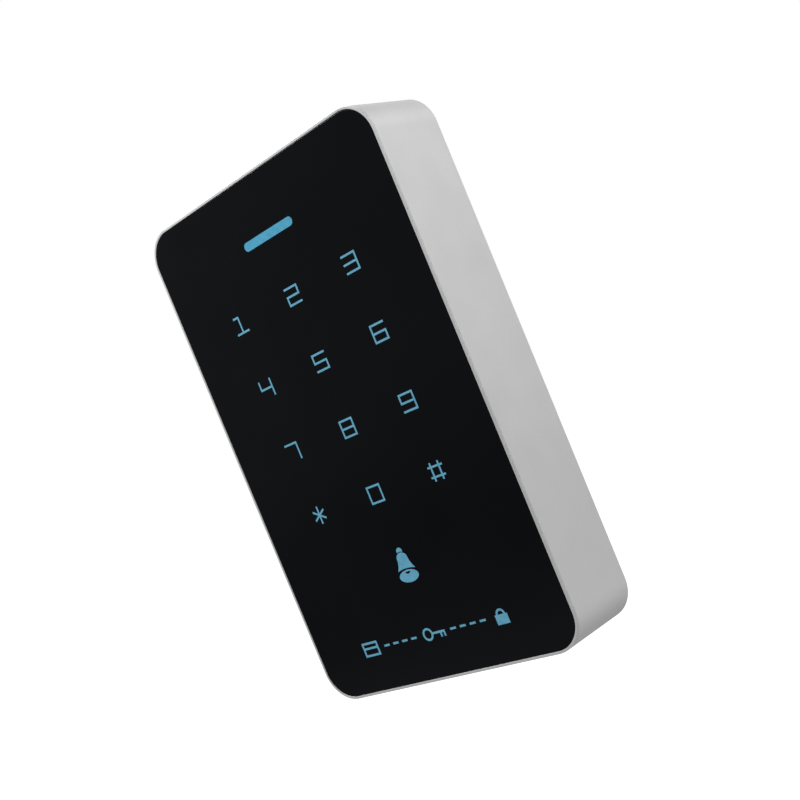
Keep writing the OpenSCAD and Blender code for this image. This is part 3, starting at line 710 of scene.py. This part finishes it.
def parts_of(node):
    """The low and high corners of each separate part of a model solid, sorted by place."""
    build = merged_copy(node)
    left = set(build.verts)
    found = []
    while left:
        group = [left.pop()]
        for vert in group:
            for edge in vert.link_edges:
                other = edge.other_vert(vert)
                if other in left:
                    left.remove(other)
                    group.append(other)
        places = [vert.co for vert in group]
        found.append((Vector([min(p[k] for p in places) for k in range(3)]),
                      Vector([max(p[k] for p in places) for k in range(3)])))
    build.free()
    return sorted(found, key=lambda part: (round(part[0].z, 4), round(part[0].x, 4)))


def centres(parts):
    """The middle of each part."""
    return [(low + high) / 2 for low, high in parts]


print("the board screws are", len(parts_of("board_screws")), "parts")

# %% Plate and cover
wall_plate = eased("pressed_wall_plate", "wall_plate", 0.12 * MM)
settle(wall_plate, "plate", ZINC_PLATE, "zinc_plated_steel", "wall_plate")
rear_cover = eased("moulded_rear_cover", "rear_cover", 0.15 * MM)
settle(rear_cover, "reader", SPARKED_ABS, "black_plastic", "rear_cover")

# %% [markdown]
# ## Turned pieces
#
# The grommet, the plunger and the round parts on the board are all shapes of revolution. A profile of
# radii along the axis is turned round it, like clay on a wheel. That keeps the lips and tips truly
# round, which a bevel on a faceted solid doesn't.

# %% A lathe
def lathe(name, profile, x, z, steps=48, sharp_degrees=30):
    """Turns (radius, y) points about an axis along Y. A profile that starts off the axis is a ring."""
    build = bmesh.new()
    rings = [ring_at(build, x, y, z, radius, steps) if radius else [build.verts.new((x, y, z))] * steps
             for radius, y in profile]
    if profile[0][0]:
        rings.append(rings[0])
    bridge(build, rings, capped=False)
    return soften_shading(closed(name, build), sharp_degrees)


def rounded(corner, into, out, radius, steps=4):
    """Points of a fillet at a corner, from one unit direction to the other."""
    turns = [math.radians(90 * i / steps) for i in range(steps + 1)]
    return [tuple(corner[k] + radius * (into[k] * (1 - math.sin(t)) + out[k] * (1 - math.cos(t)))
                  for k in (0, 1)) for t in turns]


def middle(node):
    """The (x, z) of a model solid's middle."""
    low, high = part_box(node)
    return (low.x + high.x) / 2, (low.z + high.z) / 2


grommet_low, grommet_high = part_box("cable_grommet")
plunger_low, plunger_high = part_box("tamper_plunger")
PLATE_FACE = grommet_low.y + 0.9 * MM
print("grommet flange in front of y =", round(PLATE_FACE / MM, 2), "mm")

# %% Grommet and plunger
OUT, IN, BACK, FORWARD = (1, 0), (-1, 0), (0, 1), (0, -1)
flange_r = (grommet_high.x - grommet_low.x) / 2
bore_r = 9 * MM
body_r = bore_r + 1.6 * MM
soft = 0.3 * MM
grommet_profile = (
    rounded((bore_r, grommet_low.y), BACK, OUT, soft)
    + rounded((flange_r, grommet_low.y), IN, BACK, soft)
    + rounded((flange_r, PLATE_FACE), FORWARD, IN, 0.1 * MM)
    + [(body_r, PLATE_FACE)]
    + rounded((body_r, 0), FORWARD, IN, soft) + rounded((bore_r, 0), OUT, FORWARD, soft))
grommet = lathe("rubber_grommet", grommet_profile, *middle("cable_grommet"))
settle(grommet, "plate", RUBBER, "black_rubber", "cable_grommet")

collar_r = (plunger_high.x - plunger_low.x) / 2
pin_r = 2 * MM
COLLAR_BACK = seal_high.y - 1.4 * MM
COLLAR_FRONT = COLLAR_BACK - 0.6 * MM
plunger_profile = (
    [(0, plunger_low.y)] + rounded((pin_r, plunger_low.y), IN, BACK, 0.15 * MM)
    + [(pin_r, COLLAR_FRONT)] + rounded((collar_r, COLLAR_FRONT), IN, BACK, 0.12 * MM)
    + rounded((collar_r, COLLAR_BACK), FORWARD, IN, 0.12 * MM) + [(pin_r, COLLAR_BACK)]
    + rounded((pin_r, 0), FORWARD, IN, 0.4 * MM) + [(0, 0)])
plunger = lathe("nylon_plunger", plunger_profile, *middle("tamper_plunger"))
settle(plunger, "plunger", WHITE_NYLON, "white_plastic", "tamper_plunger")

# %% [markdown]
# ## Screws
#
# The screws are small pan heads with a cross recess, nickel plated. Their shanks sit in their holes,
# where no thread can be seen, so the ridge that climbs them one pitch a turn is only a trace: it is a
# third of a micrometre high, and the shanks look plain. One screw is made ring by ring, its recess is
# cut, and geometry nodes stand copies of it where the model has its screws.

# %% A screw and copies of it
ROWS_A_TURN = 5            # rings of points for each turn of the ridge
RIDGE_SHARE = 0.52         # the ridge as a share of the shank's radius, for each metre of pitch


def screw_mesh(name, shank_r, shank_l, head_r, head_h, pitch, recess, recess_depth, around=20):
    """A screw along Y. The underside of its head is at y = 0, its shank points to -Y."""
    build = bmesh.new()
    rings = [ring_at(build, 0, -shank_l, 0, shank_r * 0.55, around),
             ring_at(build, 0, -shank_l + 0.4 * pitch, 0, shank_r * 0.86, around)]
    for row in range(1, int((shank_l - 0.5 * pitch) / (pitch / ROWS_A_TURN))):
        y = -shank_l + 0.5 * pitch + row * pitch / ROWS_A_TURN
        ring = ring_at(build, 0, y, 0, shank_r, around)
        for i, point in enumerate(ring):
            phase = (y / pitch + i / around) % 1.0
            ridge = 1 - RIDGE_SHARE * pitch * abs(2 * phase - 1)
            point.co = (point.co.x * ridge, y, point.co.z * ridge)
        rings.append(ring)
    if head_h:
        shape = [(shank_r * 0.9, 0), (head_r * 0.96, 0), (head_r, head_h * 0.12), (head_r, head_h * 0.45),
                 (head_r * 0.93, head_h * 0.72), (head_r * 0.76, head_h * 0.9), (head_r * 0.5, head_h)]
    else:
        shape = [(shank_r * 0.92, -0.1 * pitch), (shank_r * 0.8, 0)]
    bridge(build, rings + [ring_at(build, 0, y, 0, radius, around) for radius, y in shape])
    piece = closed(name, build)
    cut_prism(piece, recess, head_h - recess_depth, head_h + 1 * MM)
    return soften_shading(piece, 30)


def cut_prism(piece, outline, y0, y1):
    """Cuts a prism with an (x, z) outline out of a piece."""
    build = bmesh.new()
    bridge(build, [[build.verts.new((x, y, z)) for x, z in outline] for y in (y0, y1)])
    cut_away(piece, closed("knife", build))


def cross(reach, half):
    """The outline of a cross recess with arms of that reach and half width."""
    quarter = [(reach, -half), (reach, half), (half, half)]
    return [(x * c - z * s, x * s + z * c) for c, s in ((1, 0), (0, 1), (-1, 0), (0, -1))
            for x, z in quarter]


def polygon(x, z, radius, corners):
    """The outline of a regular polygon about a point."""
    turns = [2 * math.pi * i / corners for i in range(corners)]
    return [(x + radius * math.cos(t), z + radius * math.sin(t)) for t in turns]


def copies(name, master, places, material):
    """Stands copies of a master object on places, in one plain mesh, and removes the master."""
    tree, given = start_tree("stand copies on points", {})
    shape = add_node(tree, "GeometryNodeObjectInfo", {"Object": master})
    stood = add_node(tree, "GeometryNodeInstanceOnPoints", {
        "Points": given["Geometry"], "Instance": shape.outputs["Geometry"]})
    end_tree(tree, stood.outputs["Instances"], material)
    points = bpy.data.meshes.new(name)
    points.from_pydata([tuple(place) for place in places], [], [])
    piece = grow(name, tree, {}, points)
    bpy.data.objects.remove(master)
    return piece


def screws_for(node, name, shank_r, head_h, pitch):
    """Screws where a model solid has its screws."""
    parts = parts_of(node)
    low, high = parts[0]
    head_r = (high.x - low.x) / 2
    master = screw_mesh(name + "_master", shank_r, high.y - low.y - head_h, head_r, head_h, pitch,
                        cross(head_r * 0.62, head_r * 0.13), head_h * 0.55)
    places = [(x, high.y - head_h, z) for x, _, z in centres(parts)]
    settle(copies(name, master, places, BRIGHT_STEEL), "reader", BRIGHT_STEEL, "bright_steel", node)


screws_for("cover_screws", "pan_head_cover_screws", 1.25 * MM, 1.4 * MM, 0.5 * MM)
screws_for("board_screws", "pan_head_board_screws", 1.0 * MM, 1.2 * MM, 0.4 * MM)

# %% The lock screw
lock_screw = screw_mesh("hex_socket_lock_screw", 1.5 * MM, lock_high.z - lock_low.z, 0, 0, 0.5 * MM,
                        polygon(0, 0, 0.9 * MM, 6), 1.6 * MM)
upright = Matrix.Translation((0, LOCK_Y, lock_low.z)) @ Matrix.Rotation(-math.pi / 2, 4, "X")
lock_screw.data.transform(upright)
settle(lock_screw, "lock", BRIGHT_STEEL, "bright_steel", "lock_screw")

# %% [markdown]
# ## Springs
#
# Thirteen contact springs carry the touch of a finger from the panel to the board, and one stronger
# spring pushes the tamper plunger out. A spring is a wire wound on a mandrel, so it's made just so: a
# spiral curve with a small circle swept along it, with as many turns as fit its height.

# %% Winding springs
def spring_tree(material):
    """The tree that winds a wire spring on each point."""
    sizes = {"Turns": 1.0, "Coil radius": 0.0, "Height": 0.0, "Wire radius": 0.0}
    tree, given = start_tree("wind springs on points", sizes)
    coil = add_node(tree, "GeometryNodeCurveSpiral", {
        "Resolution": 14, "Rotations": given["Turns"], "Start Radius": given["Coil radius"],
        "End Radius": given["Coil radius"], "Height": given["Height"]})
    wire = add_node(tree, "GeometryNodeCurvePrimitiveCircle", {
        "Resolution": 6, "Radius": given["Wire radius"]})
    wound = add_node(tree, "GeometryNodeCurveToMesh", {
        "Curve": coil.outputs["Curve"], "Profile Curve": wire.outputs["Curve"], "Fill Caps": True})
    along_y = add_node(tree, "GeometryNodeTransform", {
        "Geometry": wound.outputs["Mesh"], "Rotation": (-math.pi / 2, 0, 0)})
    stood = add_node(tree, "GeometryNodeInstanceOnPoints", {
        "Points": given["Geometry"], "Instance": along_y.outputs["Geometry"]})
    end_tree(tree, stood.outputs["Instances"], material)
    return tree


def wind_springs(name, node, wall, wire_r, pitch, material):
    """Springs that fill the sleeves of a model solid, whose wall is that thick."""
    parts = parts_of(node)
    low, high = parts[0]
    height = high.y - low.y - 2 * wire_r
    sizes = {"Turns": height / pitch, "Coil radius": (high.x - low.x - wall) / 2, "Height": height,
             "Wire radius": wire_r}
    points = bpy.data.meshes.new(name)
    points.from_pydata([(x, low.y + wire_r, z) for x, _, z in centres(parts)], [], [])
    piece = grow(name, spring_tree(material), sizes, points)
    piece.data.shade_smooth()
    return piece


contacts = wind_springs("touch_contact_springs", "touch_springs", 0.5 * MM, 0.21 * MM, 0.62 * MM,
                        GOLD_PLATE)
settle(contacts, "reader", GOLD_PLATE, "gold_plate", "touch_springs")
tamper_spring = wind_springs("tamper_return_spring", "tamper_spring", 0.7 * MM, 0.22 * MM, 0.95 * MM,
                             BRIGHT_STEEL)
settle(tamper_spring, None, BRIGHT_STEEL, "bright_steel", "tamper_spring")
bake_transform(tamper_spring)

# %% [markdown]
# ## The antenna
#
# The card antenna is a hank of enamelled copper wire, wound on a rounded rectangle and fixed round the
# light shield. Every turn is drawn, because the copper lines are what the eye reads as a coil. The
# section is a stack of small circles, swept round the same kind of path as the frame.

# %% Winding the antenna
coil_low, coil_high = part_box("antenna_coil")
COIL_W = 2.0 * MM
WIRE_ACROSS, WIRE_DEEP = 5, 4
WIRE_SHARE = 0.46          # a wire's radius as a share of the pitch, so neighbours almost touch
coil_depth = coil_high.y - coil_low.y
wire_pitch_x = COIL_W / WIRE_ACROSS
wire_pitch_y = coil_depth / WIRE_DEEP


def wires_mesh(name, sides=6):
    """Rings of edges, one for each wire of the hank, in (inset, depth)."""
    points, edges = [], []
    for a in range(WIRE_ACROSS):
        for d in range(WIRE_DEEP):
            first = len(points)
            inset = (a + 0.5) * wire_pitch_x
            depth = coil_low.y + (d + 0.5) * wire_pitch_y
            for i in range(sides):
                turn = 2 * math.pi * i / sides
                points.append((-inset - WIRE_SHARE * wire_pitch_x * math.cos(turn),
                               depth - WIRE_SHARE * wire_pitch_y * math.sin(turn), 0))
                edges.append((first + i, first + (i + 1) % sides))
    mesh = bpy.data.meshes.new(name)
    mesh.from_pydata(points, edges, [])
    return mesh


antenna = sweep_round("wound_antenna", coil_high.x - coil_low.x, coil_high.z - coil_low.z, 4 * MM,
                      wires_mesh("wires"), COPPER_WIRE, steps=10)
antenna.data.shade_smooth()
settle(antenna, "reader", COPPER_WIRE, "coil_copper", "antenna_coil")

# %% [markdown]
# ## Board, film and light
#
# The board is glass cloth in epoxy under a green solder mask, and the copper tracks show through the
# mask as slightly lighter lines that turn at right angles. Drawing every track as geometry would be
# false detail, since the real layout isn't known. Instead the mask's colour carries two sets of fine
# lines, one along each axis, that noise switches on and off in patches, and small tinned dots as vias.

# %% Board, film and lamp materials
# The tracks lie a millimetre from line to line, and a tinned via of 0.7 mm comes every 4.5 mm or so. The
# lamps' lenses are water-clear epoxy, and the film is milky, so that no single lamp shows through it.
def solder_mask():
    """The green mask of the board, with its tracks and vias."""
    material, tree, shader = start_material("green solder mask on glass epoxy", IOR=1.55,
                                            Coat_Weight=0.3, Coat_Roughness=0.2)
    place = add_node(tree, "ShaderNodeTexCoord").outputs["Object"]
    lines = []
    for direction, patch in (("X", 7 * MM), ("Z", 9 * MM)):
        wave = add_node(tree, "ShaderNodeTexWave", {
            "Vector": place, "Scale": 0.16 / (0.5 * MM), "Distortion": 0.0},
            wave_type="BANDS", bands_direction=direction).outputs["Fac"]
        track = add_node(tree, "ShaderNodeMath", {0: wave, 1: 0.62}, operation="GREATER_THAN").outputs[0]
        here = add_node(tree, "ShaderNodeMath", {0: mottle(tree, patch, 0.0), 1: 0.55},
                        operation="GREATER_THAN").outputs[0]
        lines.append(add_node(tree, "ShaderNodeMath", {0: track, 1: here}, operation="MULTIPLY").outputs[0])
    tracks = add_node(tree, "ShaderNodeMath", {0: lines[0], 1: lines[1]}, operation="MAXIMUM").outputs[0]
    mask = two_tones(tree, mottle(tree, 15 * MM), "#0E4B2C", "#125634")
    greens = mix_colours(tree, tracks, mask, linear("#1E7A49"))
    holes = add_node(tree, "ShaderNodeTexVoronoi", {"Vector": place, "Scale": 1 / (4.5 * MM)})
    vias = add_node(tree, "ShaderNodeMath", {0: holes.outputs["Distance"], 1: 0.075},
                    operation="LESS_THAN").outputs[0]
    tree.links.new(mix_colours(tree, vias, greens, linear("#C9CBC4")), shader.inputs["Base Color"])
    tree.links.new(between(tree, mottle(tree, 5 * MM), 0.30, 0.40), shader.inputs["Roughness"])
    tree.links.new(relief(tree, tracks, 0.02 * MM), shader.inputs["Normal"])
    return material


def glowing_epoxy():
    """The clear lens of an LED: water-clear epoxy with a little blue light in it."""
    material, tree, shader = start_material("clear epoxy lens", IOR=1.54, Roughness=0.12)
    tree.links.new(two_tones(tree, mottle(tree, 0.6 * MM), "#C9D8DE", "#DCE8EC"), shader.inputs["Base Color"])
    tree.links.new(two_tones(tree, mottle(tree, 0.6 * MM), "#3E9FD0", "#62B8E2"),
                   shader.inputs["Emission Color"])
    shader.inputs["Emission Strength"].default_value = 0.25
    return material


SOLDER_MASK = solder_mask()
LENS = glowing_epoxy()
DIFFUSER = moulding("white polycarbonate film", "#E6E7E5", "#F0F1EF", 0.5, 0.15 * MM, 0.004 * MM, 1.58)
SILK_WHITE = moulding("white package plastic", "#DFDED6", "#EAE9E2", 0.45, 0.3 * MM, 0.001 * MM, 1.55)
print("made", SOLDER_MASK.name, "and", LENS.name)

# %% Lamps
def eased_block(name, size, width, segments=2):
    """A closed block about the origin with rounded edges, as a master for copies."""
    build = bmesh.new()
    add_block(build, [-s / 2 for s in size], [s / 2 for s in size])
    return round_edges(shaped(name, build), width, segments)


def lamps_for(node, name):
    """White packages with domed lenses where the model has its LEDs."""
    parts = parts_of(node)
    low, high = parts[0]
    lens_h, lens_r, sunk = 0.3 * MM, 0.7 * MM, 0.1 * MM
    body_h = high.y - low.y - lens_h
    spots = centres(parts)
    block = eased_block(name, (high.x - low.x, body_h, high.z - low.z), 0.12 * MM)
    packages = copies(name + "_packages", block, [(x, high.y - body_h / 2, z) for x, _, z in spots],
                      SILK_WHITE)
    settle(packages, "reader", SILK_WHITE, "white_plastic", node)
    curve = [(lens_r * math.sin(t), -lens_h * math.cos(t)) for t in (0.4, 0.8, 1.2, math.pi / 2)]
    dome = lathe(name, [(0, -lens_h)] + curve + [(lens_r, sunk), (0, sunk)], 0, 0, steps=16)
    lenses = copies(name + "_lenses", dome, [(x, high.y - body_h, z) for x, _, z in spots], LENS)
    settle(lenses, "reader", LENS, "white_plastic")


lamps_for("key_leds", "key_lamp")
lamps_for("status_leds", "status_lamp")

# %% Shield and seal
light_shield = eased("moulded_light_shield", "light_shield", 0.15 * MM)
settle(light_shield, "reader", SPARKED_ABS, "black_plastic", "light_shield")

seal_r = 0.3 * MM
seal_near = (BODY_W - (seal_high.x - seal_low.x)) / 2
seal_far = seal_near + 0.8 * MM
seal_section = (rounded((seal_near, seal_low.y), BACK, OUT, seal_r)
                + rounded((seal_far, seal_low.y), IN, BACK, seal_r)
                + rounded((seal_far, seal_high.y), FORWARD, IN, seal_r)
                + rounded((seal_near, seal_high.y), OUT, FORWARD, seal_r))
seal = sweep_round("foam_rubber_seal", BODY_W, BODY_H, CORNER_R,
                   section_mesh("seal_section", seal_section), RUBBER)
soften_shading(seal)
settle(seal, "reader", RUBBER, "black_rubber", "rear_seal")

# %% [markdown]
# ## Parts on the board
#
# Each part is dressed as what it is. Chips are moulded in two halves and have a dimple by the first
# lead, and their leads are tinned. Cans are drawn from sheet, so their edges are round. The varistor is
# a disc dipped in blue epoxy. The header's pins are cut from square wire and have bevelled tips.

# %% Chips and the regulator
BOARD_BACK = board_high.y


def chip_for(node, name, half_x, half_z, mark_x, mark_z, mark_r):
    """A moulded chip with a dimple by its first lead. What lies beyond its half sizes is tinned."""
    piece = eased(name, node, 0.06 * MM, 1)
    settle(piece, "reader", EPOXY, "chip_epoxy", node)
    x, z = middle(node)
    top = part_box(node)[1].y
    cut_prism(piece, polygon(x - mark_x, z + mark_z, mark_r, 16), top - 0.12 * MM, top + 1 * MM)
    second_material(piece, TINNED, lambda c: abs(c.x - x) > half_x or abs(c.z - z) > half_z)


chip_for("controller_chip", "quad_flat_controller", 5.01 * MM, 5.01 * MM, 3.8 * MM, 3.8 * MM, 0.5 * MM)
chip_for("touch_chip", "touch_sensing_chip", 5.11 * MM, 2.66 * MM, 4.2 * MM, -1.7 * MM, 0.4 * MM)

TAB_H = 0.65 * MM          # how far the regulator's tab and leads rise from the board
regulator = eased("tab_voltage_regulator", "voltage_regulator", 0.06 * MM, 1)
settle(regulator, "reader", EPOXY, "chip_epoxy", "voltage_regulator")
low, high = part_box("voltage_regulator")
second_material(regulator, TINNED, lambda c: c.y < BOARD_BACK + TAB_H and (
    c.z > high.z - 1.2 * MM or c.z < low.z + 0.9 * MM))

# %% Crystal and relay
def settle_eased(name, node, width, segments, material, slot):
    """A piece that is its model solid with rounded edges."""
    piece = eased(name, node, width, segments)
    settle(piece, "reader", material, slot, node)
    return piece


settle_eased("crystal_can", "crystal", 0.5 * MM, 4, BRIGHT_STEEL, "bright_steel")
settle_eased("moulded_relay", "relay", 0.35 * MM, 3, RELAY_PBT, "relay_case")

# %% Sounder
buzzer_low, buzzer_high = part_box("buzzer")
buzzer_r = (buzzer_high.x - buzzer_low.x) / 2
hole_r, hole_depth, foot = 1.2 * MM, 3 * MM, 0.2 * MM
buzzer_profile = (
    [(0, buzzer_low.y), (buzzer_r - foot, buzzer_low.y), (buzzer_r, buzzer_low.y + foot)]
    + rounded((buzzer_r, buzzer_high.y), FORWARD, IN, 0.5 * MM)
    + rounded((hole_r, buzzer_high.y), OUT, FORWARD, 0.25 * MM)
    + [(hole_r, buzzer_high.y - hole_depth), (0, buzzer_high.y - hole_depth)])
buzzer = lathe("round_buzzer", buzzer_profile, *middle("buzzer"))
settle(buzzer, "reader", SPARKED_ABS, "black_plastic", "buzzer")

# %% Disc and coil
LEADS_H = 0.85 * MM        # how far the disc's bare leads rise from the board
varistor = settle_eased("dipped_varistor", "surge_varistor", 0.9 * MM, 5, DIPPED_EPOXY, "varistor_blue")
second_material(varistor, TINNED, lambda c: c.y < BOARD_BACK + LEADS_H)
settle_eased("wound_inductor", "power_inductor", 0.3 * MM, 3, FERRITE, "ferrite")

# %% Capacitors
capacitors = parts_of("power_capacitors")
low, high = capacitors[0]
CAN_R = 3.1 * MM
BASE_H = 0.8 * MM
VENT_REACH, VENT_HALF, VENT_DEPTH = 2.2 * MM, 0.09 * MM, 0.1 * MM
can_h = high.y - low.y - BASE_H
base = eased_block("base", (high.x - low.x, BASE_H, high.z - low.z), 0.2 * MM)
base_places = [(x, BOARD_BACK + BASE_H / 2, z) for x, _, z in centres(capacitors)]
settle(copies("capacitor_bases", base, base_places, SPARKED_ABS), "reader", SPARKED_ABS, "black_plastic")
neck = 0.25 * MM
can_profile = (
    [(0, 0), (CAN_R - neck, 0), (CAN_R, neck), (CAN_R, 0.9 * MM), (CAN_R - neck, 1.2 * MM),
     (CAN_R, 1.5 * MM)] + rounded((CAN_R, can_h), FORWARD, IN, 0.45 * MM) + [(0, can_h)])
can = lathe("can", can_profile, 0, 0)
cut_prism(can, cross(VENT_REACH, VENT_HALF), can_h - VENT_DEPTH, can_h + 1 * MM)
can_places = [(x, BOARD_BACK + BASE_H, z) for x, _, z in centres(capacitors)]
cans = soften_shading(copies("capacitor_cans", can, can_places, DRAWN_ALUMINIUM), 30)
settle(cans, "reader", DRAWN_ALUMINIUM, "capacitor_can", "power_capacitors")

# %% Small parts, header and switch
def chips_lying(node, name, wide):
    """Ceramic bodies with tinned ends, for the parts of one direction."""
    parts = [(a, b) for a, b in parts_of(node) if (b.x - a.x > b.z - a.z) == wide]
    size = parts[0][1] - parts[0][0]
    spots = centres(parts)
    end = 0.3 * MM
    body_size = (size.x - 2 * end, size.y * 0.92, size.z * 0.94) if wide else (
        size.x * 0.94, size.y * 0.92, size.z - 2 * end)
    cap_size = (end, size.y, size.z) if wide else (size.x, size.y, end)
    shift = (size.x - end) / 2 if wide else (size.z - end) / 2
    bodies = copies(name + "_bodies", eased_block(name, body_size, 0.04 * MM, 1), spots, CERAMIC)
    settle(bodies, "reader", CERAMIC, "small_ceramic", node)
    ends = [(x + s * shift * wide, y, z + s * shift * (not wide)) for x, y, z in spots for s in (-1, 1)]
    caps = copies(name + "_ends", eased_block(name, cap_size, 0.05 * MM, 1), ends, TINNED)
    settle(caps, "reader", TINNED, "bright_steel")


chips_lying("small_parts", "lying_chips", True)
chips_lying("small_parts", "upright_chips", False)

header = eased("wire_header_shroud", "wire_header", 0.1 * MM)
settle(header, "reader", WHITE_NYLON, "white_plastic", "wire_header")

pins = parts_of("header_pins")
low, high = pins[0]
pin_half, pin_l, tip = (high.x - low.x) / 2, high.y - low.y, 0.35 * MM
square = ((-1, -1), (1, -1), (1, 1), (-1, 1))
build = bmesh.new()
bridge(build, [[build.verts.new((x * half, y, z * half)) for x, z in square]
               for y, half in ((0, pin_half), (pin_l - tip, pin_half), (pin_l, pin_half * 0.45))])
pin_places = [(x, low.y, z) for x, _, z in centres(pins)]
pin_row = copies("square_header_pins", closed("square_pin", build), pin_places, GOLD_PLATE)
settle(pin_row, "reader", GOLD_PLATE, "gold_plate", "header_pins")

switch = eased("tamper_push_switch", "tamper_switch", 0.18 * MM)
settle(switch, "reader", SPARKED_ABS, "black_plastic", "tamper_switch")
switch_x, switch_z = middle("tamper_switch")
second_material(switch, BRIGHT_STEEL, lambda c: BOARD_BACK + 1.0 * MM < c.y < BOARD_BACK + 2.25 * MM
                and max(abs(c.x - switch_x), abs(c.z - switch_z)) > 1.5 * MM)

# %% [markdown]
# ## Pieces that stay as modelled
#
# The printed legends, the tape, the film and the board are flat sheets, and their plain solids are
# already right. They keep their geometry and only get their finishes.

# %% Finishes on the model's own solids
FINISHES = {
    "key_legends": INK, "bell_legend": INK, "footer_legend": INK, "status_window": BAR_LIGHT,
    "panel_tape": FOAM, "diffuser_film": DIFFUSER, "main_board": SOLDER_MASK}
for node, material in FINISHES.items():
    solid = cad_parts[node]
    solid.data.materials.clear()
    solid.data.materials.append(material)
print("dressed", len(FINISHES), "solids")
